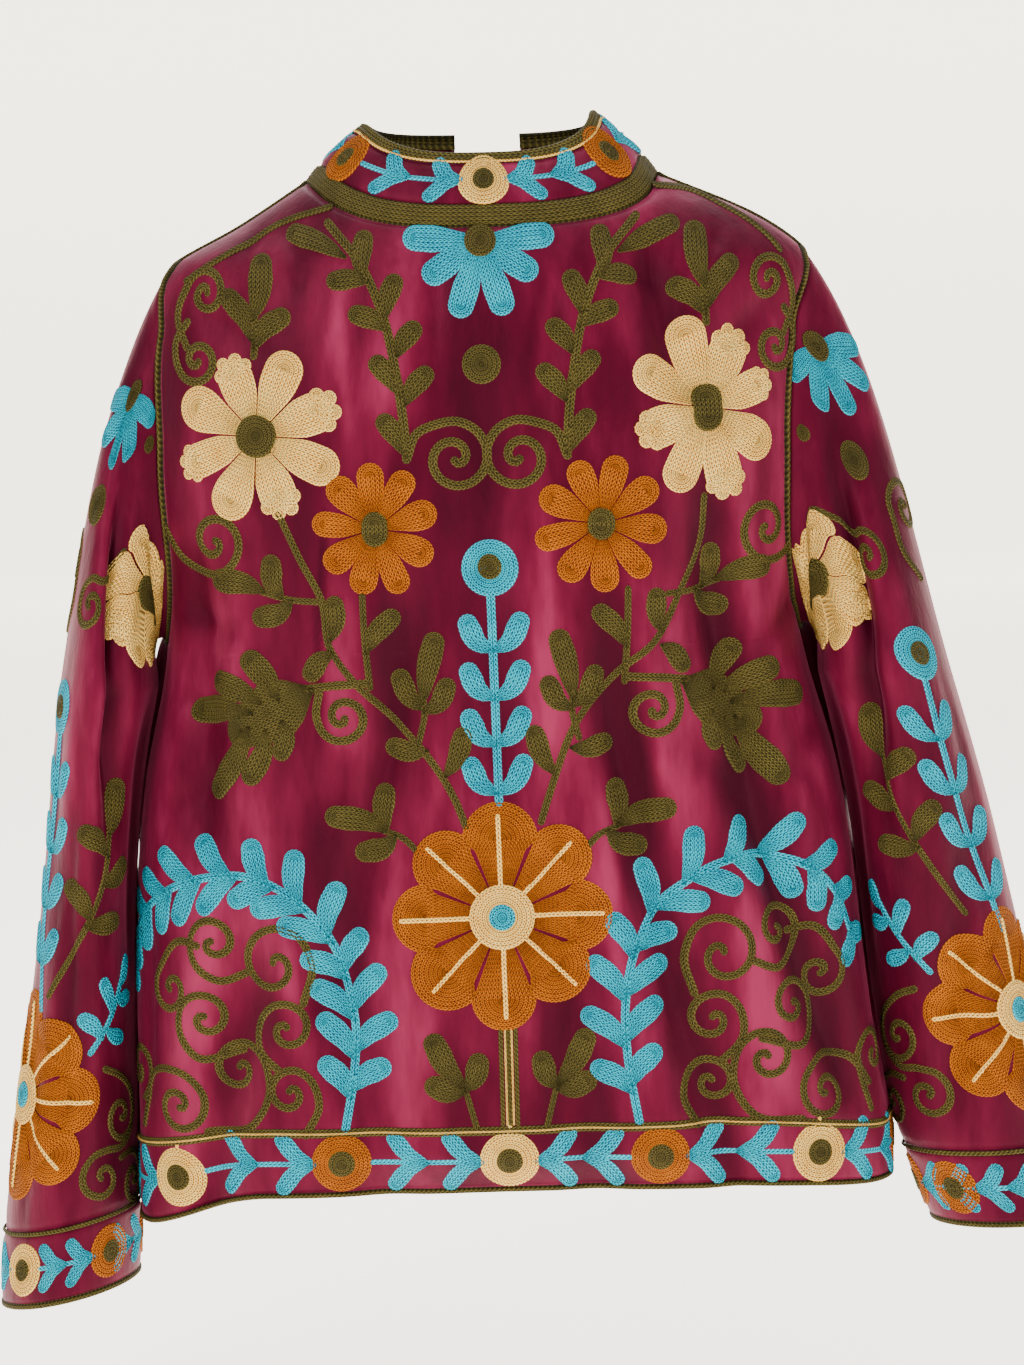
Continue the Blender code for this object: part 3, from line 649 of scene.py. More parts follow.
class SleeveForm(Form):
    """One sleeve's cloth: a row for each level, a column for each turn.

    Levels 0 to 1 are the head, from the armhole to the hanging tube, and above 1 a metre is a metre down.
    A place on the cloth is given by s, the distance round from the outer line, and t, the distance down
    from the end of the head.
    """

    columns = 180
    grid_step = 0.003

    def __init__(self, side: Side) -> None:
        """Works out the grid of points and its cloth distances.

        Args:
            side: which sleeve.
        """
        self.side, self.sign = side, side.value
        self.rows, self.end = SLEEVE_ROWS[side], SLEEVE_ENDS[side]
        last = 1 + HEAD_END_Z - (self.end.edge_z - HEM_BINDING - 0.004)
        self.level = np.concatenate([np.linspace(0, 1, HEAD_ROWS + 1),
                                     np.arange(1 + self.grid_step, last, self.grid_step)])
        turn, level = np.meshgrid(np.linspace(-1.0, 1.0, self.columns + 1), self.level)
        split = HEAD_ROWS + 1
        plain = np.concatenate([self._head(turn[:split], level[:split]), self._tube(turn[split:], level[split:])])
        height = np.where(level < 1, HEAD_TOP_Z + (HEAD_END_Z - HEAD_TOP_Z) * level, HEAD_END_Z + 1 - level)
        sink = fold_depth(SLEEVE_FOLDS[side], turn, height, 1.0, (0.35, 0.30))
        sink = (sink + crease_depth(SLEEVE_CREASES, turn, -height)) * ease(level / 0.06)
        points = plain - self.outward(plain) * sink[..., None]
        tilt = ease((HEAD_END_Z - points[..., 2]) / 0.20)
        middle = column(self.rows, "x", points[..., 2])
        points[..., 2] += self.end.slope * tilt * (self.sign * points[..., 0] - middle)
        self.settle(points, sink)
        across, down = (np.linalg.norm(np.diff(points, axis=axis), axis=-1) for axis in (1, 0))
        around = np.concatenate([np.zeros((len(level), 1)), np.cumsum(across, axis=1)], axis=1)
        self.s = around - around[:, self.columns // 2][:, None]
        fallen = np.concatenate([np.zeros((1, self.columns + 1)), np.cumsum(down, axis=0)])
        self.t = fallen - fallen[HEAD_ROWS]

    def outward(self, points: Array) -> Array:
        """Outward directions of the tube's grid, closed round its underarm line.

        Args:
            points: the grid.
        Returns:
            The directions.
        """
        wide = np.concatenate([points[:, -2:-1], points, points[:, 1:2]], axis=1)
        across = (wide[:, 2:] - wide[:, :-2]) / 2
        return self.sign * unit(np.cross(across, np.gradient(points, axis=0)))

    def _tube(self, turn: Array, level: Array) -> Array:
        """Points of the hanging tube.

        Args:
            turn: turns round the sleeve.
            level: levels down it.
        Returns:
            The points.
        """
        z, angle = HEAD_END_Z + 1 - level, math.pi * turn
        x = column(self.rows, "x", z) + column(self.rows, "half_x", z) * np.cos(angle)
        y = column(self.rows, "y", z) - column(self.rows, "half_y", z) * np.sin(angle)
        return np.stack([self.sign * x, y, z], axis=-1)

    def _head(self, turn: Array, level: Array) -> Array:
        """Points of the head, lofted from the armhole to the top of the hanging tube.

        Args:
            turn: turns round the sleeve.
            level: levels down it.
        Returns:
            The points.
        """
        start = BODY.place_q(*armhole_point(turn, self.sign))
        end = self._tube(turn, np.ones(turn.shape))
        top = ((1 + np.cos(math.pi * turn)) / 2)[..., None]

        def slope(over: Point, under: Point) -> Array:
            """Slope that goes from one at the shoulder to another at the underarm."""
            return (top * over + (1 - top) * under) * (self.sign, 1.0, 1.0)

        leave = slope((self.end.leave_out, 0.0, -0.190), (0.045, 0.0, 0.014))
        reach = slope((self.end.reach_out, 0.0, -0.300), (0.002, 0.0, -0.045))
        return hermite(level[..., None], start, end, leave, reach)

    def _at(self, turn: Array, level: Array) -> tuple[Array, Array]:
        """Row and column of the grid at a turn and a level."""
        row = np.interp(level, self.level, np.arange(len(self.level)))
        return row, (np.asarray(turn) + 1) % 2 / 2 * self.columns

    def place_turn(self, turn: Array, level: Array, lift: Array | float = 0.0) -> Array:
        """Points at turns and levels, lifted off the cloth."""
        return self.at(*self._at(turn, level), lift)

    def place(self, s: Array, t: Array, lift: Array | float = 0.0) -> Array:
        """Points at distances round and down the sleeve, lifted off the cloth.

        Args:
            s: distances round it.
            t: distances down it.
            lift: how far off the cloth.
        Returns:
            The points.
        """
        turn, level = np.asarray(s) / 0.18, 1 + np.asarray(t)
        rows = np.arange(len(self.level))
        for _ in range(6):
            row, col = self._at(np.clip(turn, -0.999, 0.999), level)
            here_s, here_t = sampled(self.s, row, col), sampled(self.t, row, col)
            girth = sampled(self.s, row, np.full(row.shape, self.columns * 0.999))
            turn = turn + (s - here_s) / np.maximum(girth, 0.05)
            step = np.maximum(sampled(self.t, row + 1, col) - here_t, 1e-4)
            row = np.clip(row + np.clip((t - here_t) / step, -25, 25), 0, rows[-1])
            level = np.interp(row, rows, self.level)
        return self.place_turn(turn, level, lift)

    def nap(self, turn: Array, level: Array) -> Array:
        """Painted shade and highlight of the velvet, from 0 in the troughs to 1 on the ridges."""
        return np.clip(0.46 + sampled(self.relief, *self._at(turn, level)) / 0.016, 0, 1)


class CollarForm:
    """The stand collar: q round the neck as on the body, h from 0 on the neck seam to 1 at its top."""

    def __init__(self) -> None:
        """Works out the cloth distance round the collar at mid height."""
        self.q = np.linspace(-0.97, 0.97, 400)
        run = run_along(self.place(self.q, 0.5))
        self.s = run - np.interp(0.0, self.q, run)

    @staticmethod
    def _point(q: Array, h: Array) -> Array:
        """Point of the collar's outer side.

        Args:
            q: shares round the neck.
            h: shares of the collar's height.
        Returns:
            The points.
        """
        base = BODY_PLAIN.place_q(q, neck_z(q) + 3 * SEAM_GAP)
        turn, angle, bulge = np.abs(q), math.pi * np.abs(q), np.sin(math.pi * h)
        middle = np.where(turn <= 0.5, BACK_NECK_Z + COLLAR_RISE_BACK, FRONT_NECK_Z + COLLAR_RISE_FRONT)
        side_top = NECK_POINT_Z + np.where(q > 0, COLLAR_RISE_RIGHT, COLLAR_RISE_LEFT)
        top_z = middle + (side_top - middle) * np.abs(np.sin(angle)) ** 3
        lean = np.where(q > 0, COLLAR_TOP_RIGHT / BODY_SECTIONS[-1].right, COLLAR_TOP_LEFT / BODY_SECTIONS[-1].left)
        depth = np.where(turn <= 0.5, -COLLAR_TOP_BACK_Y, COLLAR_TOP_FRONT_Y)
        top = np.stack([base[..., 0] * lean, -depth * np.cos(angle), top_z], axis=-1)
        top[..., 0] += ease((turn - 0.5) / 0.5) * (base[..., 0] - top[..., 0])
        outward = unit(base * (1.0, 1.0, 0.0))
        swell = bulge * (COLLAR_BULGE + 0.0008 * np.sin(q * 46) * np.cos(q * 17 + 1))
        return base + (top - base) * h[..., None] + outward * swell[..., None]

    def place(self, q: Array, h: Array | float, lift: Array | float = 0.0) -> Array:
        """Points of the collar, lifted off the cloth.

        Args:
            q: shares round the neck.
            h: shares of the collar's height.
            lift: how far off the cloth.
        Returns:
            The points.
        """
        q, h = np.broadcast_arrays(np.asarray(q, float), np.asarray(h, float))
        step = 1e-3
        across = self._point(q + step, h) - self._point(q - step, h)
        up = self._point(q, h + step) - self._point(q, h - step)
        return self._point(q, h) + np.broadcast_to(lift, q.shape)[..., None] * unit(np.cross(across, up))

    def place_cloth(self, s: Array, rise: Array, lift: Array | float = 0.0) -> Array:
        """Points at a distance round the collar and a rise above its seam."""
        return self.place(np.interp(s, self.s, self.q), rise / COLLAR_HEIGHT, lift)


COLLAR = CollarForm()
SLEEVES = {side: SleeveForm(side) for side in Side}


def linear(red: int, green: int, blue: int) -> tuple[float, float, float, float]:
    """Colour given in 0 to 255 steps, as a shader wants it."""
    parts = [v / 255 for v in (red, green, blue)]
    return (*[p / 12.92 if p <= 0.04045 else ((p + 0.055) / 1.055) ** 2.4 for p in parts], 1.0)


Value = bpy.types.NodeSocket | float | Sequence[float]


class Nodes:
    """Short hand for building one material's nodes."""

    def __init__(self, name: str) -> None:
        """Starts a material with a plain shader.

        Args:
            name: the material's name.
        """
        self.material = bpy.data.materials.new(name)
        self.material.use_nodes = True
        self.tree = self.material.node_tree
        self.shader = self.tree.nodes["Principled BSDF"]

    def node(self, kind: str, **settings: Value | str) -> bpy.types.Node:
        """A new node of a kind, with its settings; inputs are given by name or as in0, in1.

        Args:
            kind: the node's class.
            settings: its inputs and properties.
        Returns:
            The node.
        """
        made = self.tree.nodes.new(kind)
        for key, value in settings.items():
            if key.startswith("in") and key[2:].isdigit():
                self.feed(made.inputs[int(key[2:])], value)
            elif key in made.inputs:
                self.feed(made.inputs[key], value)
            else:
                setattr(made, key, value)
        return made

    def feed(self, socket: bpy.types.NodeSocket, value: Value) -> None:
        """Links or sets one input.

        Args:
            socket: the input.
            value: an output, or a plain value.
        """
        if isinstance(value, bpy.types.NodeSocket):
            self.tree.links.new(value, socket)
        else:
            socket.default_value = value

    def surface(self, **values: Value) -> bpy.types.Material:
        """Sets or links the shader's inputs, named with _ for each space, and gives the material.

        Args:
            values: output or plain value of each input.
        Returns:
            The material.
        """
        for name, value in values.items():
            self.feed(self.shader.inputs[name.replace("_", " ")], value)
        return self.material

    def maths(self, operation: str, a: Value, b: Value = 0.0, c: Value = 0.0) -> bpy.types.NodeSocket:
        """Result of a sum on two or three values."""
        return self.node("ShaderNodeMath", operation=operation, in0=a, in1=b, in2=c).outputs[0]

    def times(self, a: Value, b: Value) -> bpy.types.NodeSocket:
        """Product of two values."""
        return self.maths("MULTIPLY", a, b)

    def swing(self, value: Value, amount: float, onto: Value) -> bpy.types.NodeSocket:
        """A cloudy value's swing about 0.5, times an amount, added onto another value."""
        return self.maths("MULTIPLY_ADD", self.maths("SUBTRACT", value, 0.5), amount, onto)

    def centred(self, value: Value) -> bpy.types.NodeSocket:
        """Distance of a value from the middle of its own whole step: 0 in the middle, 0.5 at the edge."""
        return self.maths("ABSOLUTE", self.maths("SUBTRACT", self.maths("FRACT", value), 0.5))

    def ramp(self, value: Value, stops: Sequence[tuple[float, tuple]]) -> bpy.types.NodeSocket:
        """Colour picked along a ramp.

        Args:
            value: place along the ramp.
            stops: places and colours.
        Returns:
            The colour.
        """
        made = self.node("ShaderNodeValToRGB", in0=value)
        elements = made.color_ramp.elements
        while len(elements) < len(stops):
            elements.new(0.5)
        for element, (place, colour) in zip(elements, stops):
            element.position, element.color = place, colour
        return made.outputs[0]

    def noise(self, where: Value, scale: float, detail: float = 2.0, rough: float = 0.5) -> bpy.types.NodeSocket:
        """Cloudy value from 0 to 1."""
        made = self.node("ShaderNodeTexNoise", Scale=scale, Detail=detail, Roughness=rough, Vector=where)
        return made.outputs["Fac"]

    def bump(self, height: Value, strength: float, distance: float,
             under: Value | None = None) -> bpy.types.NodeSocket:
        """Bump from a height, on another bump if one is given.

        Args:
            height: the height.
            strength: how much of it is used.
            distance: size of a height of 1.
            under: the bump below it.
        Returns:
            The bumped direction.
        """
        settings = {} if under is None else {"Normal": under}
        made = self.node("ShaderNodeBump", Strength=strength, Distance=distance, Height=height, **settings)
        return made.outputs[0]


@dataclass(frozen=True)
class VelvetFinish:
    """Wine velvet with painted shade in the troughs and a painted rose highlight on the ridges, from each vertex's
    stored tone.
    """

    name: str = "wine_velvet"
    dark: tuple = linear(40, 0, 14)
    deep: tuple = linear(60, 2, 23)
    middle: tuple = linear(84, 11, 37)
    light: tuple = linear(124, 34, 66)
    specular: tuple = linear(255, 130, 165)
    sheen: tuple = linear(255, 110, 160)

    def make(self) -> bpy.types.Material:
        """The material, with streaks of tone along the pile and a fine bump for the pile.

        Returns:
            The material.
        """
        n = Nodes(self.name)
        place = n.node("ShaderNodeTexCoord").outputs["Object"]
        streaks = n.node("ShaderNodeMapping", Scale=(1.0, 1.0, 0.28), Vector=place).outputs[0]
        # painted shade and highlight: the stored vertex tone, with random streaks, picks the ramp's colour from dark
        # to light
        nap = n.node("ShaderNodeAttribute", attribute_name="nap").outputs["Fac"]
        cloud = n.maths("SUBTRACT", n.noise(streaks, 13.0, 3.0, 0.55), 0.525)
        value = n.swing(n.noise(streaks, 55.0, 3.0, 0.6), 0.60, n.maths("MULTIPLY_ADD", cloud, 1.45, nap))
        stops = ((0.08, self.dark), (0.36, self.deep), (0.60, self.middle), (0.92, self.light))
        fine = n.bump(n.noise(place, 1500.0), 0.25, 0.0004)
        soft = n.bump(n.noise(streaks, 62.0, 4.0, 0.62), 0.55, 0.0020, fine)
        return n.surface(
            Base_Color=n.ramp(value, stops), Normal=soft, IOR=1.25, Roughness=0.5, Specular_IOR_Level=0.6,
            Specular_Tint=self.specular, Sheen_Weight=0.20, Sheen_Roughness=0.38, Sheen_Tint=self.sheen)


@dataclass(frozen=True)
class ThreadFinish:
    """Chain stitch in one thread: UV x counts stitches along a row, UV y counts rows."""

    name: str
    shade: tuple
    body: tuple
    bright: tuple
    hole: float

    def make(self) -> bpy.types.Material:
        """The material: links of a chain, with painted shade in their eyes and between the rows, and painted highlight
        on their crests.

        Returns:
            The material.
        """
        n = Nodes(self.name)
        place = n.node("ShaderNodeTexCoord")
        along, row = n.node("ShaderNodeSeparateXYZ", Vector=place.outputs["UV"]).outputs[:2]
        across = n.centred(row)
        link = n.maths("SINE", n.times(n.maths("MULTIPLY_ADD", across, -0.9, along), 2 * math.pi))
        wide = n.times(across, 2.0)
        height = n.maths("ADD", n.times(link, 0.32), n.times(n.maths("POWER", wide, 3.0), -0.55))
        eye = n.maths("ADD", n.times(n.maths("POWER", n.centred(along), 2.0), 10.0),
                      n.times(n.maths("POWER", across, 2.0), 22.0))
        eye = n.maths("SUBTRACT", 1.0, n.maths("MINIMUM", eye, 1.0))
        height = n.maths("MULTIPLY_ADD", eye, -0.5, height)
        fuzz = n.noise(place.outputs["Object"], 1900.0)
        # painted highlight on the crests and painted shade in the grooves, from the stitch height, with a random cloud
        # of tone
        tone = n.maths("MULTIPLY_ADD", height, 0.80, 0.70)
        tone = n.swing(n.noise(place.outputs["Object"], 70.0, 3.0, 0.65), 0.55, tone)
        colour = n.ramp(n.swing(fuzz, 0.35, tone), ((0.10, self.shade), (0.52, self.body), (0.90, self.bright)))
        # painted shade: the eyes and the grooves between rows are darkened towards 0.35 of the thread's shade colour
        between = n.times(n.maths("POWER", wide, 5.0), 0.8)
        mixed = n.node("ShaderNodeMix", data_type="RGBA", Factor=n.times(n.maths("MAXIMUM", eye, between), self.hole))
        n.feed(mixed.inputs["A"], colour)
        n.feed(mixed.inputs["B"], tuple(0.35 * v for v in self.shade[:3]) + (1.0,))
        bump = n.bump(height, 1.0, 0.0014, n.bump(fuzz, 0.3, 0.0004))
        return n.surface(Base_Color=mixed.outputs["Result"], Normal=bump, Roughness=0.7, Specular_IOR_Level=0.12)


@dataclass(frozen=True)
class PaperFinish:
    """Matt paper, lit a little from behind, with a faint cloud in its colour."""

    name: str
    colour: tuple
    glow: float = 3.3

    def make(self) -> bpy.types.Material:
        """The material.

        Returns:
            The material.
        """
        n = Nodes(self.name)
        cloud = n.noise(n.node("ShaderNodeTexCoord").outputs["Object"], 3.0)
        pale = tuple(min(1.0, 1.02 * v) for v in self.colour[:3]) + (1.0,)
        return n.surface(Base_Color=n.ramp(cloud, ((0.3, self.colour), (0.7, pale))), Roughness=0.9,
                         Specular_IOR_Level=0.1, Emission_Color=self.colour, Emission_Strength=self.glow)


class Thread(Enum):
    """Embroidery threads."""

    OLIVE = ThreadFinish("olive_thread", linear(34, 30, 6), linear(66, 59, 20), linear(100, 88, 40), 0.8)
    CREAM = ThreadFinish("cream_thread", linear(172, 92, 20), linear(252, 192, 84), linear(255, 228, 136), 1.0)
    ORANGE = ThreadFinish("orange_thread", linear(80, 30, 0), linear(150, 74, 0), linear(200, 112, 2), 0.85)
    TURQUOISE = ThreadFinish("turquoise_thread", linear(0, 62, 92), linear(0, 146, 174), linear(0, 206, 228), 0.85)


OLIVE, CREAM, ORANGE, TURQUOISE = Thread


class Materials:
    """Each finish made once."""

    def __init__(self) -> None:
        """Makes the finishes."""
        self.velvet = VelvetFinish().make()
        self.thread = {thread: thread.value.make() for thread in Thread}


@dataclass(frozen=True)
class Cut:
    """The flat cut of a cloth piece: width, length, flat area, and what it hangs from."""

    width: float
    length: float
    area: float
    hangs_from: tuple[str, ...]


def coordinates(mesh: bpy.types.Mesh) -> Array:
    """Place of every vertex of a flat grid, as shares from 0 to 1.

    Args:
        mesh: a mesh made of flat grids of size 1.
    Returns:
        Two shares for each vertex.
    """
    flat = np.zeros(len(mesh.vertices) * 3)
    mesh.vertices.foreach_get("co", flat)
    return flat.reshape(-1, 3)[:, :2] + 0.5


def grid_mesh(name: str, across: int, along: int) -> tuple[bpy.types.Mesh, Array, Array]:
    """A flat grid ready to be laid on a form.

    Args:
        name: the piece's name.
        across: faces along the first axis.
        along: faces along the second axis.
    Returns:
        The mesh, and each vertex's two shares from 0 to 1.
    """
    shaped = bmesh.new()
    layer = shaped.loops.layers.uv.new("UVMap")
    bmesh.ops.create_grid(shaped, x_segments=across, y_segments=along, size=0.5)
    for face in shaped.faces:
        for loop in face.loops:
            loop[layer].uv = (loop.vert.co.x + 0.5, loop.vert.co.y + 0.5)
    mesh = bpy.data.meshes.new(name)
    shaped.to_mesh(mesh)
    shaped.free()
    return mesh, *coordinates(mesh).T


def scale_uv(mesh: bpy.types.Mesh, along: float, across: float, start: float) -> None:
    """Stretches the UV map to whole stitches and rows, the first row beginning past a start.

    Args:
        mesh: the mesh.
        along: stitches along it.
        across: rows across it.
        start: rows before the first.
    """
    uv = np.zeros(len(mesh.uv_layers[0].data) * 2)
    mesh.uv_layers[0].data.foreach_get("uv", uv)
    uv = (uv.reshape(-1, 2) * (along, across) - (0, start)).ravel()
    mesh.uv_layers[0].data.foreach_set("uv", uv)


def finished(mesh: bpy.types.Mesh, points: Array, material: bpy.types.Material, turned_over: bool = False,
             wall: float = CLOTH, weld: bool = False) -> bpy.types.Object:
    """Puts a mesh's points in place and makes it a piece that rides on the jacket.

    Args:
        mesh: the flat mesh.
        points: place of every vertex.
        material: its finish.
        turned_over: whether its faces have to be turned over to point outwards.
        wall: thickness given to it inwards, or 0.
        weld: whether meeting edges are joined.
    Returns:
        The piece.
    """
    mesh.vertices.foreach_set("co", np.asarray(points, np.float32).ravel())
    mesh.update()
    if turned_over or weld:
        shaped = bmesh.new()
        shaped.from_mesh(mesh)
        if weld:
            bmesh.ops.remove_doubles(shaped, verts=shaped.verts, dist=2e-5)
        if turned_over:
            bmesh.ops.reverse_faces(shaped, faces=shaped.faces)
        shaped.to_mesh(mesh)
        shaped.free()
    mesh.shade_smooth()
    mesh.materials.append(material)
    piece = bpy.data.objects.new(mesh.name, mesh)
    bpy.context.scene.collection.objects.link(piece)
    if wall:
        thick = piece.modifiers.new("cloth", "SOLIDIFY")
        thick.thickness, thick.offset, thick.use_even_offset = wall, -1.0, False
    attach(piece, ROOT)
    LOG.info("piece %s: %d faces", piece.name, len(mesh.polygons))
    return piece


def set_nap(mesh: bpy.types.Mesh, values: Array) -> None:
    """Stores each vertex's tone: painted shade and highlight on the panels and sleeves, a wavy tone along the collar.
    """
    made = mesh.attributes.new("nap", "FLOAT", "POINT")
    made.data.foreach_set("value", np.asarray(values, np.float32))


def seam_roll(*distances: Array) -> Array:
    """How far the cloth rolls in close to its seams, from the share distance to each seam."""
    return -0.0011 * np.max([1 - ease(distance) for distance in distances], axis=0)


@dataclass
class BodyPanels:
    """Back, two fronts and hem band."""

    material: bpy.types.Material
    back_columns: int = 168
    front_columns: int = 92
    band_columns: int = 380
    band_rows: int = 13
    back_cut: Cut = Cut(0.560, 0.630, 0.302, ("neck_band",))
    front_cut: Cut = Cut(0.310, 0.620, 0.150, ("neck_band",))
    band_cut: Cut = Cut(1.150, 0.050, 0.048, ("back", "front_left", "front_right"))

    def velvet(self, mesh: bpy.types.Mesh, q: Array, z: Array, lift: Array, node: str, cut: Cut) -> None:
        """Lays a flat mesh on the body as velvet of a cut, standing for its solid.

        Args:
            mesh: the flat mesh.
            q: each vertex's share round the body.
            z: its height.
            lift: how far it lies off the cloth's middle.
            node: the solid's name.
            cut: not used.
        """
        set_nap(mesh, BODY.nap(BODY.u_of(q, z), z))
        piece = finished(mesh, BODY.place_q(q, z, lift), self.material)
        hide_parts(node)

    def panel(self, node: str, columns: int, cut: Cut, row: Callable[[Array, Array], Array]) -> None:
        """One panel from its hem seam to its neck seam.

        Args:
            node: the solid's name.
            columns: faces across.
            cut: its flat cut.
            row: gives q from heights and shares across.
        """
        heights = panel_heights()
        mesh, a, b = grid_mesh(f"{node}_velvet", columns, len(heights) - 1)
        height = np.interp(b, np.linspace(0, 1, len(heights)), heights)
        q = row(height, a)
        down = np.clip((ARMHOLE_LOW - height) / (ARMHOLE_LOW - BAND_SEAM_Z), 0, 1) ** 2
        z = to_neck(height, row(np.full(a.shape, NECK_POINT_Z), a)) + down * (band_seam_z(q) - BAND_SEAM_Z)
        edge = 0.7 * columns
        roll = seam_roll(a * edge, (1 - a) * edge, b * len(heights), (1 - b) * len(heights))
        self.velvet(mesh, q, z, roll, node, cut)

    def build(self) -> None:
        """Builds the panels and the hem band."""

        def back(height: Array, a: Array) -> Array:
            """Shares round the body for the back."""
            left, right = (0.5 - armhole_inset(height, side, "back") for side in (-1, 1))
            return (2 * a - 1) * np.where(a < 0.5, left, right)

        self.panel("back", self.back_columns, self.back_cut, back)
        for side in Side:

            def front(height: Array, a: Array, sign: int = side.value) -> Array:
                """Shares round the body for one front.

                Args:
                    height: heights.
                    a: shares across the panel.
                    sign: -1 for the left, 1 for the right.
                Returns:
                    Shares round the body.
                """
                seam = 0.5 + armhole_inset(height, sign, "front")
                edge = front_edge(height, sign, FRONT_EDGE_WIDTH + SEAM_GAP)
                return sign * (edge + (seam - edge) * (a if sign < 0 else 1 - a))

            self.panel(f"front_{side.word}", self.front_columns, self.front_cut, front)
        mesh, a, b = grid_mesh("hem_band_velvet", self.band_columns, self.band_rows)
        q = round_body(a, BAND_SEAM_Z, FRONT_EDGE_WIDTH + SEAM_GAP)
        low, under = hem_z(q), b > 0.99
        share = np.minimum(b * self.band_rows / (self.band_rows - 1), 1)
        z = low + (band_seam_z(q) - low) * share + TUCK_WIDTH * under
        lift = np.where(under, TUCK_DEPTH, 0.5 * seam_roll((1 - b) * 8, b * 9))
        self.velvet(mesh, q, z, lift, "hem_band", self.band_cut)


@dataclass
class SleevePiece:
    """One sleeve and its cuff band."""

    side: Side
    material: bpy.types.Material
    columns: int = 120
    rows: int = 170
    cuff_rows: int = 14

    def tube(self, node: str, first: float, last: float, rows: int) -> None:
        """A stretch of the sleeve between two levels; a cuff's top is tucked under the sleeve.

        Args:
            node: the solid's name.
            first: its upper level.
            last: its lower level.
            rows: faces between them.
        """
        form = SLEEVES[self.side]
        mesh, a, b = grid_mesh(f"{node}_velvet", self.columns, rows)
        turn, level = ring_turn(a), first + (last - first) * b
        set_nap(mesh, form.nap(turn, level))
        roll = seam_roll(b * rows * 0.7, (1 - b) * rows * 0.7)
        if rows == self.cuff_rows:
            roll = np.where(b < 0.01, TUCK_DEPTH, 0.5 * roll)
            level = np.where(b < 0.01, level - TUCK_WIDTH, level)
        piece = finished(mesh, form.place_turn(turn, level, roll), self.material, self.side is Side.LEFT, weld=True)
        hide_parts(node)

    def build(self) -> None:
        """Builds the sleeve and the cuff."""
        end, word = SLEEVE_ENDS[self.side], self.side.word
        cuff = 1 + HEAD_END_Z - end.cuff_z
        self.tube(f"sleeve_{word}", 0.0, cuff, self.rows)
        self.tube(f"cuff_{word}", cuff + SEAM_GAP, 1 + HEAD_END_Z - end.edge_z, self.cuff_rows)


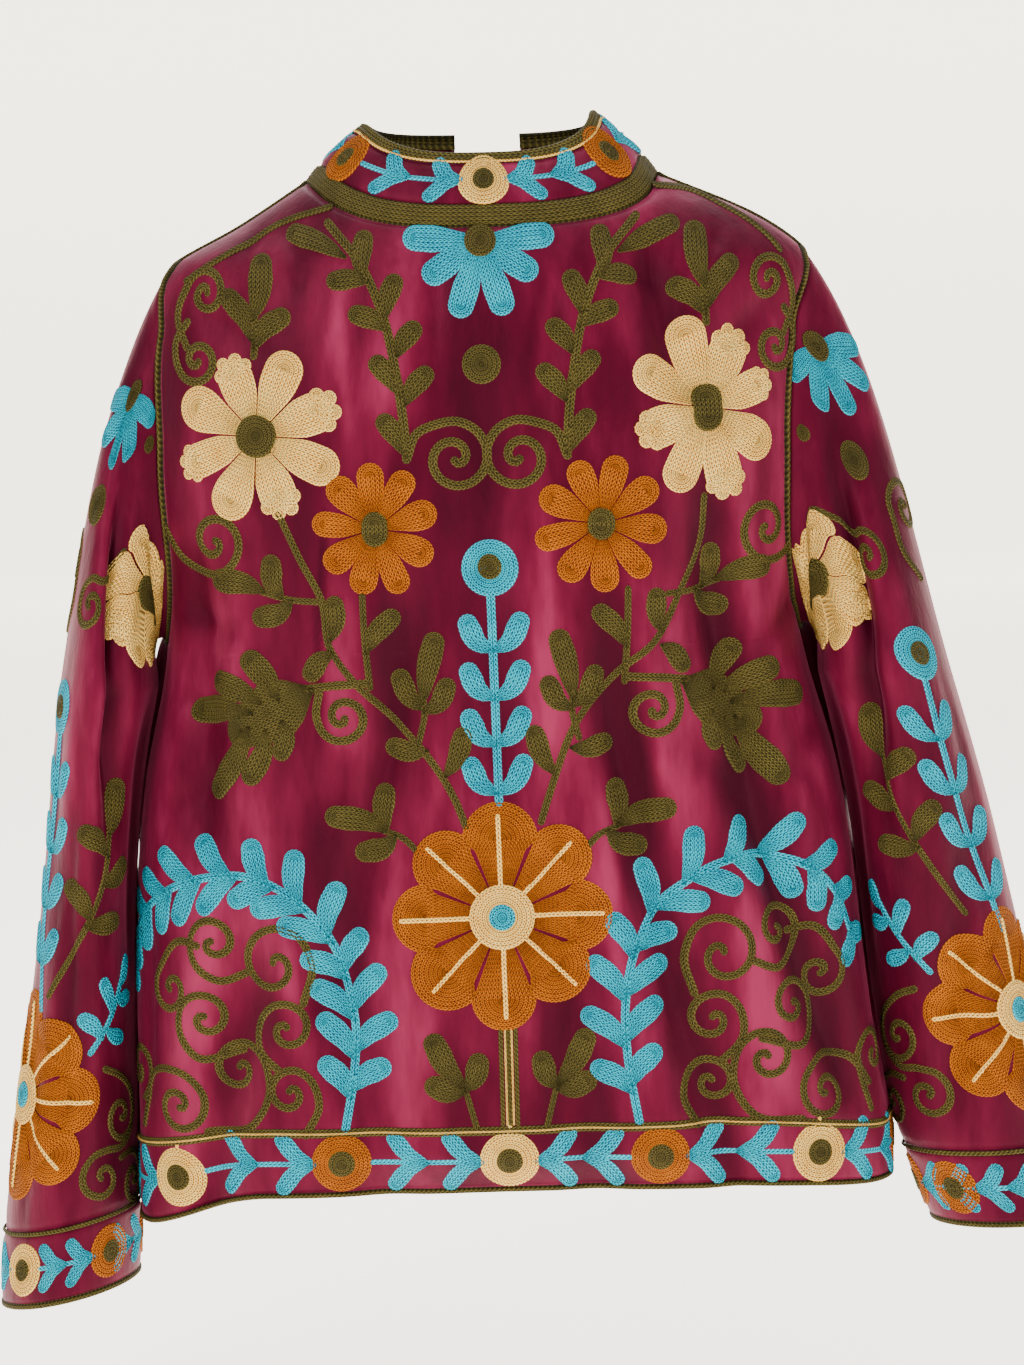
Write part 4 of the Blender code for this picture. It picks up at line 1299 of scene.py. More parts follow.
@dataclass
class Trimmings:
    """Stand collar, bindings and cords: chain-stitched strips in line with the panels."""

    materials: Materials
    pitch: float = 0.0028
    stitch: float = 0.0030
    wall: float = 0.0026
    cord_height: float = 0.0016
    hem_end: float = 0.05

    def rib(self, share: Array, rows: float, height: float) -> Array:
        """Lift across a strip: a rounded back with one low ridge for each row."""
        back = np.sqrt(np.clip(1 - (2 * share - 1) ** 4, 0, 1))
        return height * back - 0.00035 * (1 - np.abs(np.sin(math.pi * rows * share)))

    def strip(self, name: str, counts: tuple[int, int], size: tuple[float, float], place: Place,
              turned_over: bool = False, weld: bool = False, height: float = PROUD,
              tuck: tuple[bool, bool] = (True, True)) -> bpy.types.Object:
        """A strip of chain stitch that stands for its solid.

        Args:
            name: the solid's name and a last word.
            counts: faces along and across.
            size: its length and width.
            place: gives points from shares along and across and a lift.
            turned_over: whether its faces have to be turned over.
            weld: whether its ends meet.
            height: how far it stands off the panels.
            tuck: whether its first and its last edge are turned in under the cloth beside it.
        Returns:
            The piece.
        """
        across = counts[1] + sum(tuck)
        mesh, a, b = grid_mesh(name, counts[0], across)
        rows = max(1, round(size[1] / self.pitch))
        each = rows / counts[1]
        scale_uv(mesh, round(size[0] / self.stitch), each * across, each * tuck[0])
        row = np.rint(b * across) - tuck[0]
        share = np.clip(row / counts[1], 0, 1)
        under = (row < 0) * -1.0 + (row > counts[1])
        lift = np.where(under != 0, TUCK_DEPTH, self.rib(share, rows, height))
        points = place(a, share + under * TUCK_WIDTH / size[1], lift)
        piece = finished(mesh, points, self.materials.thread[OLIVE], turned_over, self.wall, weld)
        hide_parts(name.rsplit("_", 1)[0])
        return piece

    def collar(self) -> None:
        """Velvet collar between its neck band and its top binding."""
        low, high = NECK_BAND_WIDTH / COLLAR_HEIGHT, 1 - COLLAR_EDGE_WIDTH / COLLAR_HEIGHT
        gap = 2 * SEAM_GAP / COLLAR_HEIGHT

        def placer(first: float, last: float) -> Place:
            """Places a strip between two shares of the collar's height."""
            return lambda a, b, lift: COLLAR.place(round_body(a, NECK_POINT_Z), first + (last - first) * b, lift)

        mesh, a, b = grid_mesh("collar_velvet", 260, 14)
        set_nap(mesh, 0.5 + 0.18 * np.sin(a * 61) * np.cos(a * 23))
        points = placer(low + gap, high - gap)(a, b, seam_roll(b * 8, (1 - b) * 8))
        piece = finished(mesh, points, self.materials.velvet)
        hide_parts("collar")
        band = self.strip("neck_band_stitched", (260, 20), (0.56, NECK_BAND_WIDTH), placer(0, low))
        top = self.strip("collar_binding_stitched", (260, 8), (0.42, COLLAR_EDGE_WIDTH), placer(high, 1.0),
                         tuck=(True, False))

    def front_binding(self, side: Side) -> None:
        """Binding down one front edge.

        Args:
            side: which front.
        """
        sign = side.value

        def place(a: Array, b: Array, lift: Array) -> Array:
            """Points of the binding.

            Args:
                a: shares along the strip.
                b: shares across it.
                lift: how far off the cloth.
            Returns:
                The points.
            """
            end = self.hem_end
            height = BAND_SEAM_Z + (NECK_POINT_Z - BAND_SEAM_Z) * np.clip((a - end) / (1 - end), 0, 1)
            q, q_neck = (sign * front_edge(level, sign, FRONT_EDGE_WIDTH * (b if sign < 0 else 1 - b))
                         for level in (height, NECK_POINT_Z))
            z = to_neck(height, q_neck) + (hem_z(q) - BAND_SEAM_Z) * np.clip(1 - a / end, 0, 1)
            return BODY.place_q(q, z, lift)

        piece = self.strip(f"front_binding_{side.word}_stitched", (240, 12), (0.62, FRONT_EDGE_WIDTH), place, True,
                           tuck=(sign > 0, sign < 0))

    def hem_binding(self) -> None:
        """Binding along the hem's lower edge."""

        def place(a: Array, b: Array, lift: Array) -> Array:
            """Points of the binding."""
            q = round_body(a, BAND_SEAM_Z)
            return BODY.place_q(q, hem_z(q) - 2 * SEAM_GAP - HEM_BINDING * (1 - b), lift)

        self.strip("hem_binding_stitched", (380, 6), (1.17, HEM_BINDING), place, tuck=(False, True))

    def cuff_binding(self, side: Side) -> None:
        """Binding along one cuff's edge.

        Args:
            side: which cuff.
        """
        top = 1 + HEAD_END_Z - SLEEVE_ENDS[side].edge_z + SEAM_GAP

        def place(a: Array, b: Array, lift: Array) -> Array:
            """Points of the binding."""
            return SLEEVES[side].place_turn(ring_turn(a), top + HEM_BINDING * b, 0.4 * lift)

        self.strip(f"cuff_binding_{side.word}_stitched", (150, 6), (0.33, HEM_BINDING), place, side is Side.LEFT,
                   True, tuck=(True, False))

    def piping(self, side: Side) -> None:
        """Cords round one armhole and along its shoulder seam.

        Args:
            side: which side.
        """
        sign = side.value

        def ring(a: Array, b: Array, lift: Array) -> Array:
            """Points of the cord round the armhole."""
            (q, z), (wide_q, wide_z) = (armhole_point(ring_turn(a), sign, grow) for grow in (0.0, PIPING_WIDTH))
            return BODY.place_q(q + (wide_q - q) * b, z + (wide_z - z) * b, lift)

        def seam(a: Array, b: Array, lift: Array) -> Array:
            """Points of the cord along the shoulder seam.

            Args:
                a: shares along the strip.
                b: shares across it.
                lift: how far off the cloth.
            Returns:
                The points.
            """
            z = SHOULDER_TOP - 0.002 + (NECK_POINT_Z + 0.003 - SHOULDER_TOP) * a
            half = 0.25 * PIPING_WIDTH / BODY.quarter_length(z, sign, "back")
            return BODY.place_q(sign * (0.5 + half * (2 * b - 1)), z, lift)

        for kind, place, count, length in (("armhole", ring, 240, 0.56), ("shoulder", seam, 60, 0.13)):
            self.strip(f"{kind}_piping_{side.word}_cord", (count, 8), (length, PIPING_WIDTH), place, sign > 0,
                       kind == "armhole", self.cord_height)

    def build(self) -> None:
        """Builds every strip."""
        self.collar()
        for side in Side:
            self.front_binding(side)
        self.hem_binding()
        for made in (self.cuff_binding, self.piping):
            for side in Side:
                made(side)


# Chain stitch
PITCH = 0.0028
STITCH = 0.0029
RIDGE = 0.0012
GROOVE = 0.0006
EDGE_LIFT = -0.0003
LAYER_LIFT = 0.0006
FULLNESS = 1.34


def smooth_line(points: Sequence[Point], spacing: float) -> Array:
    """Even points along a smooth curve through a few given ones.

    Args:
        points: the given points, in millimetres of cloth.
        spacing: distance wanted between the points, in millimetres.
    Returns:
        Points along the curve, at least two.
    """
    given = np.array(points, float)
    run = np.concatenate([[0.0], np.cumsum(np.maximum(np.linalg.norm(np.diff(given, axis=0), axis=1), 1e-3))])
    if len(given) > 2:
        given = cubic(run, given, np.linspace(0, run[-1], 24 * len(given)))
        run = run_along(given)
    at = np.linspace(0, run[-1], max(2, int(run[-1] / spacing) + 1))
    return np.stack([np.interp(at, run, given[:, k]) for k in (0, 1)], axis=1)


def toward(degrees: float) -> Array:
    """Flat direction at an angle from the first axis."""
    return np.array([math.cos(math.radians(degrees)), math.sin(math.radians(degrees))])


def turned(vector: Array, degrees: float) -> Array:
    """A flat vector turned anticlockwise."""
    c, s = toward(degrees)
    return np.array([c * vector[0] - s * vector[1], s * vector[0] + c * vector[1]])


@dataclass
class Stitching:
    """Chain stitch in one thread on one stretch of cloth, gathered into one mesh."""

    name: str
    thread: Thread
    place: Place
    materials: Materials
    grids: list = field(default_factory=list)
    shaped: bmesh.types.BMesh = field(default_factory=bmesh.new)

    def fill(self, line: Sequence[Point], half: float | Sequence[float], layer: float, spacing: float) -> None:
        """Rows of stitches that fill a shape, nested inside its outline.

        Args:
            line: points of the shape's middle line, in millimetres of cloth.
            half: half width, or half widths along it, in millimetres.
            layer: how many layers of stitching it lies on.
            spacing: distance between the points along it.
        """
        middle, half = smooth_line(line, spacing), np.atleast_1d(half)
        radius = np.interp(np.linspace(0, 1, len(middle)), np.linspace(0, 1, len(half)), half)
        tangent = unit(np.gradient(middle, axis=0))
        normal = np.stack([-tangent[:, 1], tangent[:, 0]], axis=1)
        levels = max(1, round(max(half) * MM / (PITCH / 2)))
        centres, ways, reaches = [middle], [normal], [radius]
        for end, sign in ((-1, 1), (0, -1)):
            steps = max(3, int(math.pi * radius[end] / 2.6))
            angle = math.pi * np.arange(1, steps + 1)[:, None] / (steps + 1)
            back = slice(None, None, -1) if end == -1 else slice(0, 1)
            ways += [sign * (np.cos(angle) * normal[end] + np.sin(angle) * tangent[end]), -sign * normal[back]]
            centres += [np.repeat(middle[end][None], steps, axis=0), middle[back]]
            reaches += [np.full(steps, radius[end]), radius[back]]
        centre, way, reach = np.concatenate(centres), np.concatenate(ways), np.concatenate(reaches)
        run = run_along(centre + way * reach[:, None])
        run = run / run[-1] * max(2, round(run[-1] * MM / STITCH))
        bmesh.ops.create_grid(self.shaped, x_segments=len(centre) - 1, y_segments=levels, size=0.5)
        self.grids.append(((len(centre), levels + 1), centre, way, reach, run, layer))

    def build(self) -> None:
        """Lays every filled shape on the cloth and joins them into one piece."""
        mesh = bpy.data.meshes.new(self.name)
        self.shaped.to_mesh(mesh)
        self.shaped.free()
        flat = coordinates(mesh)
        spots, lifts, uv = np.zeros((len(flat), 2)), np.zeros(len(flat)), np.zeros((len(flat), 2))
        start = 0
        for (across, deep), centre, way, reach, run, layer in self.grids:
            mine = slice(start, start + across * deep)
            i, j = np.rint(flat[mine] * (across - 1, deep - 1)).astype(int).T
            spots[mine] = centre[i] + way[i] * (reach[i] * (1 - j / (deep - 1)))[:, None]
            lifts[mine] = np.where(j == 0, EDGE_LIFT, np.where(j % 2 == 1, RIDGE, GROOVE)) + layer * LAYER_LIFT
            uv[mine] = np.stack([run[i], j / 2], axis=1)
            start += across * deep
        corners = np.zeros(len(mesh.loops), dtype=np.int32)
        mesh.loops.foreach_get("vertex_index", corners)
        mesh.uv_layers.new(name="UVMap").data.foreach_set("uv", uv[corners].ravel())
        points = self.place(spots[:, 0] * MM, spots[:, 1] * MM, lifts)
        finished(mesh, points, self.materials.thread[self.thread], wall=0.0, weld=True)


class Motifs:
    """Flowers, leaves and scrolls, each drawn with the threads of one stretch of cloth."""

    def __init__(self, name: str, place: Place, materials: Materials) -> None:
        """Keeps one set of stitching for each thread.

        Args:
            name: first part of the pieces' names.
            place: gives points from cloth distances in metres and a lift.
            materials: the finishes.
        """
        self.sets = {t: Stitching(f"{name}_{t.name.lower()}", t, place, materials) for t in Thread}
        self.move()

    def move(self, across: float = 0.0, along: float = 0.0, flip: int = 1) -> None:
        """Draws what follows from another point, mirrored where flip is -1."""
        self.flip, self.shift = (flip, 1), (across, along)

    def draw(self, thread: Thread, line: Sequence[Point], half: float | Sequence[float], layer: float = 0.0,
             spacing: float = 3.2) -> None:
        """One filled shape in one thread."""
        self.sets[thread].fill(np.array(line, float) * self.flip + self.shift, half, layer, spacing)

    def disc(self, thread: Thread, at: Point, radius: float, layer: float = 0.0, squeeze: float = 1.0) -> None:
        """Round patch, or an oval one where squeeze is over 1."""
        reach = radius * (squeeze - 1) + 0.05
        self.draw(thread, ((at[0], at[1] - reach), (at[0], at[1] + reach)), radius, layer)

    def leaf(self, thread: Thread, base: Point, tip: Point, half: float, bend: float = 0.0,
             layer: float = 0.0) -> None:
        """Club-shaped leaf from its narrow base to its round tip.

        Args:
            thread: its thread.
            base: where it leaves the stem.
            tip: its far end.
            half: its greatest half width.
            bend: how far its middle bows to the left.
            layer: how many layers of stitching it lies on.
        """
        half *= FULLNESS
        start, way = np.array(base, float), unit(np.subtract(tip, base, dtype=float))
        end = np.array(tip, float) - way * half * 0.9 * 0.95
        middle = (start + end) / 2 + bend * np.array([-way[1], way[0]])
        self.draw(thread, (start, middle, end), (1.3, 0.55 * half + 0.6, 0.88 * half, half, half * 0.9), layer, 2.8)

    def leaves(self, thread: Thread, *rows: Sequence[float], layer: float = 0.0) -> None:
        """Leaves from rows of base, tip, half width and bend."""
        for base_a, base_b, tip_a, tip_b, half, bend in rows:
            self.leaf(thread, (base_a, base_b), (tip_a, tip_b), half, bend, layer)

    def stem(self, thread: Thread, half: float, *line: Point) -> None:
        """Stem of even width."""
        self.draw(thread, line, FULLNESS * half, 0.0, 3.4)

    def scroll(self, at: Point, hand: int, lead: Sequence[Point], turns: float = 1.3, half: float = 2.3) -> None:
        """Olive scroll that winds in to its middle.

        Args:
            at: its middle.
            hand: 1 if it winds in anticlockwise, -1 if clockwise.
            lead: points of the stem that runs to its outer end, the last on its outer turn.
            turns: how many turns it makes.
            half: half width of its line.
        """
        across, up = lead[-1][0] - at[0], lead[-1][1] - at[1]
        t = np.linspace(0, 1, max(8, int(turns * 10)) + 1)
        angle = math.atan2(up, across) + hand * 2 * math.pi * turns * t
        reach = math.hypot(across, up) * (1 - t) ** 0.85 + 1.5 * t
        winding = np.array(at) + reach[:, None] * np.stack([np.cos(angle), np.sin(angle)], axis=1)
        self.draw(OLIVE, np.concatenate([np.reshape(lead[:-1], (-1, 2)), winding]), FULLNESS * half, 0.0, 2.6)

    def spray(self, at: Point, rays: Sequence[Point], inset: float, half: Sequence[float], eye: float) -> None:
        """Turquoise petals to one side of an olive eye.

        Args:
            at: its middle.
            rays: for each petal its angle in degrees and its reach.
            inset: how far the petal's middle line ends before its tip.
            half: half widths along a petal.
            eye: the eye's radius.
        """
        for angle, reach in rays:
            start, end = (np.array(at) + toward(angle) * far for far in (6, reach - inset))
            self.draw(TURQUOISE, (start, (np.array(at) + end) / 2, end), half)
        self.disc(OLIVE, at, eye, 1.1)

    def flower(self, thread: Thread, at: Point, reach: float, petals: int, turn: float, eye: Thread,
               eye_radius: float, half: float, lobed: Sequence[int] = (), squeeze: float = 1.0,
               tall: float = 1.0) -> None:
        """Flower of rounded petals round an eye.

        Args:
            thread: the petals' thread.
            at: its middle.
            reach: distance from the middle to a petal's tip.
            petals: how many petals go round.
            turn: angle of the first petal, in degrees.
            eye: the eye's thread.
            eye_radius: its radius.
            half: a petal's greatest half width.
            lobed: petals whose tip is cut into three lobes.
            squeeze: width of the whole flower against its height.
            tall: height of the eye against its width.
        """
        root = eye_radius * 0.55
        for k in range(petals):
            way = toward(turn + 360 * k / petals) * (squeeze, 1)
            width = half * (0.93 + 0.07 * math.cos(k * 2.3))
            size = reach * (0.98 + 0.03 * math.sin(k * 1.7 + turn))
            start, end = np.array(at) + way * root, np.array(at) + way * (size - width)
            if k in lobed:
                end = np.array(at) + way * (size - 1.25 * width)
                for lean, far in ((-58, 0.95), (-18, 1.06), (24, 1.10), (62, 0.92)):
                    tip = end + turned(way, lean) * width * 0.82 * far
                    self.draw(thread, (end, tip), (0.30 * width, 0.36 * width), 0.9 * (k % 2), 2.4)
                width *= 0.92
            share = np.linspace(0, 1, 8)
            span = root + (size - width - root) * share
            room = np.where(share < 1, span * math.tan(math.pi / petals) * 0.92, width)
            swell = np.minimum(width * (0.55 + 0.45 * np.sin(share * math.pi / 2)), room)
            self.draw(thread, (start, (start + end) / 2, end), swell, 0.7 * (k % 2))
        self.disc(eye, at, eye_radius, 2.2, tall)

    def wheel(self, at: Point, reach: float, lean: float, hub: float) -> None:
        """Orange flower with cream spokes and a turquoise eye.

        Args:
            at: its middle.
            reach: distance from the middle to a petal's tip.
            lean: angle of the first spoke, in degrees.
            hub: radius of the cream hub.
        """
        self.flower(ORANGE, at, reach, 8, 90, TURQUOISE, 8.8, 24.0)
        for k in range(8):
            way = toward(45 * k + lean)
            self.draw(CREAM, (np.array(at) + way * 16, np.array(at) + way * (reach - 9)), 1.7, 2.0)
        self.disc(CREAM, at, hub, 2.4)
        self.disc(TURQUOISE, at, 8.8, 3.6)

    def medallion(self, at: Point, radius: float, outer: Thread, share: float = 0.46, squeeze: float = 1.0) -> None:
        """Round patch with an olive eye."""
        self.disc(outer, at, radius, 0.2, squeeze)
        self.disc(OLIVE, at, radius * share, 1.1, squeeze)

    def garland(self, start: float, end: float, line: Callable[[float], float], size: float = 1.0,
                rise: float = 18.5) -> None:
        """Two forked sprigs along a band, growing away from a medallion.

        Args:
            start: cloth distance where it leaves the medallion.
            end: cloth distance of its tip.
            line: height of the band's middle at a cloth distance.
            size: scale of its leaves.
            rise: how far a leaf's tip lies above or below the middle.
        """
        self.stem(TURQUOISE, 1.5, *((a, line(a)) for a in np.linspace(start, end, 9)))
        way = 1 if end > start else -1
        for share in (-0.02, 0.48):
            a = start + (end - start) * share
            for up in (-1, 1):
                tip = (a + way * 25 * size, line(a) + up * rise)
                self.leaf(TURQUOISE, (a, line(a)), tip, 4.5 * size, up * way * -3.0)

    def build(self) -> None:
        """Builds each thread's piece that holds any stitches."""
        for made in self.sets.values():
            if made.grids:
                made.build()


class BackEmbroidery:
    """Motifs of the back, in millimetres of cloth from the centre back and up from the collar's seam."""

    def arch(self, m: Motifs, line: Sequence[Point], pairs: int) -> None:
        """Turquoise arch of paired leaves.

        Args:
            m: the motifs of this stretch.
            line: points of its stem, from its foot.
            pairs: how many pairs of leaves it has.
        """
        m.stem(TURQUOISE, 2.2, *line)
        path = smooth_line(line, 1.0)
        for k in range(pairs):
            share = 0.06 + 0.90 * k / (pairs - 1)
            size = (35 - 3 * math.cos(k * 2.1)) * (1 if k < pairs - 3 else 0.86 - 0.08 * (k - pairs + 3))
            for place, angle, length, bend in ((share, 43, size, -2.5), (share + 0.015, -43, size - 1.5, 2.5)):
                i = min(int(place * (len(path) - 1)), len(path) - 2)
                tip = path[i] + turned(unit(path[i + 1] - path[i]), angle) * length
                m.leaf(TURQUOISE, path[i], tip, 5.8, bend)

    def middle(self, m: Motifs) -> None:
        """Motifs down the centre back.

        Args:
            m: the motifs of the back.
        """
        m.spray((-4, -20), ((4, 47), (-33, 42), (-72, 49), (-108, 50), (-147, 43), (176, 49)), 8.5,
                (4.0, 6.5, 8.8, 8.4), 10.5)
        m.disc(OLIVE, (-5, -96), 12.5)
        m.disc(TURQUOISE, (-3, -223), 18.0, 0.2)
        m.disc(OLIVE, (-3, -222), 8.6, 1.1)
        m.stem(TURQUOISE, 2.2, (-3, -238), (-2, -300), (-1, -370))
        for z in (-275, -305, -334, -364):
            m.leaves(TURQUOISE, (-2, z, -22, z + 22, 5.4, 3.5), (-2, z, 19, z + 23, 5.4, -3.5))
        m.wheel((-1, -441), 72, 1, 20.5)
        for off, thread, half in ((-3.7, OLIVE, 1.5), (-1.0, CREAM, 0.7), (1.0, OLIVE, 1.4), (3.1, CREAM, 0.7),
                                  (5.6, OLIVE, 1.5)):
            m.draw(thread, ((off, -512), (off + 0.2, -572)), half, 0.4)
        for side, x in ((-1, -20), (1, 24)):
            m.move(x, -574, side)
            m.stem(OLIVE, 1.6, (0, 0), (7, 26))
            m.leaves(OLIVE, (7, 26, 29, 60, 6.0, -2), (7, 23, 32, 29, 6.0, -2), (7, 24, -5, 47, 5.8, 2))
        m.move()

    def upper(self, m: Motifs) -> None:
        """Cream and orange flowers, and the cords and stems that differ from side to side.

        Args:
            m: the motifs of the back.
        """
        m.flower(CREAM, (-148, -138), 58, 8, 20, OLIVE, 13.5, 14.4, (0, 2, 4, 6))
        m.flower(CREAM, (137, -127), 60, 8, 62, OLIVE, 10.0, 14.3, (0, 3, 5, 7), 0.85, 1.5)
        m.flower(ORANGE, (-74, -197), 44, 9, 14, OLIVE, 8.2, 9.6, squeeze=0.88, tall=1.35)
        m.flower(ORANGE, (67, -197), 45, 9, 33, OLIVE, 8.8, 9.7, squeeze=0.93, tall=1.15)
        m.stem(OLIVE, 1.9, (-135, -186), (-122, -215), (-109, -241), (-104, -272), (-92, -289), (-62, -320),
               (-43, -342), (-28, -368), (-22, -384))
        m.stem(OLIVE, 1.9, (135, -182), (133, -210), (117, -240), (99, -271), (77, -289), (50, -318), (32, -361),
               (25, -382))
        m.draw(OLIVE, ((-100, 4), (-136, -6), (-158, -18), (-182, -31), (-199, -40)), 2.2, 0.6)
        m.draw(OLIVE, ((112, 13), (142, 9), (160, -1), (176, -11), (187, -21), (194, -30)), 2.2, 0.6)
        for side, x, z in ((-1, -149, -88), (1, 138, -74)):
            m.move(x, z, side)
            m.stem(OLIVE, 2.1, (0, 0), (-1, 24))
            m.leaves(OLIVE, (0, 22, -6, 64, 6.6, 2), (0, 8, 20, 42, 5.8, 3), (0, 5, -23, 28, 5.8, -3))
        m.move()

    def vine(self, m: Motifs) -> None:
        """Olive vine that falls from the collar to a scroll.

        Args:
            m: the motifs of the back.
        """
        m.stem(OLIVE, 2.4, (98, -6), (78, -30), (63, -64), (55, -103), (51, -136), (50, -152))
        m.leaves(OLIVE, (86, -28, 126, -9, 5.4, 1.5), (75, -42, 74, -11, 5.4, -1.5), (72, -44, 98, -42, 5.4, 1.5),
                 (61, -66, 54, -39, 5.4, -1.5), (59, -74, 84, -61, 5.4, 1.5), (54, -90, 41, -69, 5.4, -1.5),
                 (52, -115, 70, -90, 5.4, 1.5), (50, -120, 34, -97, 5.4, -1.5), (50, -152, 66, -126, 5.4, 1.5))
        m.scroll((20, -154), 1, ((50, -154), (43, -138), (32, -133)), 1.6, 2.4)

    def sprigs(self, m: Motifs) -> None:
        """Stems, leaves and scrolls at the side of the back, and the lobed leaf.

        Args:
            m: the motifs of the back.
        """
        for half, *line in ((1.7, (83, -238), (82, -266), (80, -296)), (1.7, (108, -242), (130, -240), (148, -235)),
                            (1.7, (50, -330), (46, -312), (47, -300)), (1.7, (50, -402), (62, -390), (74, -386)),
                            (2.2, (82, -293), (100, -294), (120, -296))):
            m.stem(OLIVE, half, *line)
        m.leaves(OLIVE, (82, -274, 62, -248, 5.4, -2), (146, -235, 183, -226, 6.2, 2),
                 (134, -239, 143, -212, 5.8, -3), (128, -241, 154, -254, 5.8, -3), (104, -266, 100, -238, 5.4, 2),
                 (103, -274, 121, -290, 5.4, 2), (47, -306, 38, -262, 6.0, -1), (46, -310, 65, -286, 5.6, -3),
                 (46, -312, 28, -292, 5.4, 3), (45, -336, 72, -333, 5.4, -2), (34, -352, 20, -322, 5.4, 2),
                 (72, -386, 110, -374, 6.0, 2), (72, -386, 73, -356, 5.8, -2), (66, -389, 92, -402, 5.8, -3))
        m.draw(OLIVE, ((118, -297), (142, -310), (162, -322)), (3.5, 15, 20, 17, 12))
        m.leaves(OLIVE, (138, -303, 160, -273, 6.4, 1.5), (150, -305, 187, -289, 6.4, 1.5),
                 (156, -311, 208, -309, 6.8, 1.5), (158, -320, 188, -364, 6.8, -2.5),
                 (147, -322, 160, -356, 5.6, -2.5), (136, -316, 138, -341, 5.4, -2.5), layer=0.4)
        m.scroll((97, -314), -1, ((112, -298), (114, -314)), 1.4, 2.2)
        m.scroll((180, -204), -1, ((222, -196), (206, -216), (188, -224)), 1.4)
        m.scroll((183, -48), 1, ((196, -82), (204, -64), (199, -46)), 1.4)
        m.scroll((188, -90), -1, ((196, -66), (205, -78), (203, -94)))

    def skirt(self, m: Motifs) -> None:
        """Olive scrolls of the lower back.

        Args:
            m: the motifs of the back.
        """
        for (x, z), hand, *lead in (
            ((137, -553), -1, (124, -577), (115, -558), (121, -541)),
            ((131, -512), 1, (140, -537), (154, -522), (151, -502)),
            ((146, -474), -1, (124, -494), (118, -470), (127, -450)),
            ((178, -453), 1, (160, -474), (180, -480), (196, -466)),
            ((212, -490), -1, (192, -458), (208, -456), (224, -472)),
            ((185, -503), 1, (166, -524), (196, -529), (207, -508)),
            ((173, -539), -1, (192, -577), (160, -572), (147, -548), (154, -526)),
            ((215, -562), 1, (250, -560), (234, -541), (206, -540), (193, -556)),
            ((262, -540), -1, (250, -577), (243, -552)),
        ):
            end_x, end_z = lead[-1]
            m.scroll((end_x + 0.80 * (x - end_x), end_z + 0.80 * (z - end_z)), hand, lead, 1.2, 2.1)

    def build(self, materials: Materials) -> None:
        """Draws and builds the back's stitching.

        Args:
            materials: the finishes.
        """
        m = Motifs("back_stitch", BODY.place, materials)
        self.middle(m)
        self.upper(m)
        self.arch(m, ((-103, -574), (-97, -540), (-95, -508), (-101, -478), (-112, -450), (-133, -427), (-162, -414),
                      (-196, -416), (-232, -430), (-262, -452), (-276, -486)), 13)
        self.arch(m, ((82, -573), (76, -535), (75, -498), (82, -464), (98, -437), (123, -418), (155, -408),
                      (192, -414), (220, -434), (240, -470)), 11)
        for side in (-1, 1):
            for across, drawn in ((-3, self.vine), (0, self.sprigs), (-4, self.skirt)):
                m.move(across, 0, side)
                drawn(m)
        m.build()


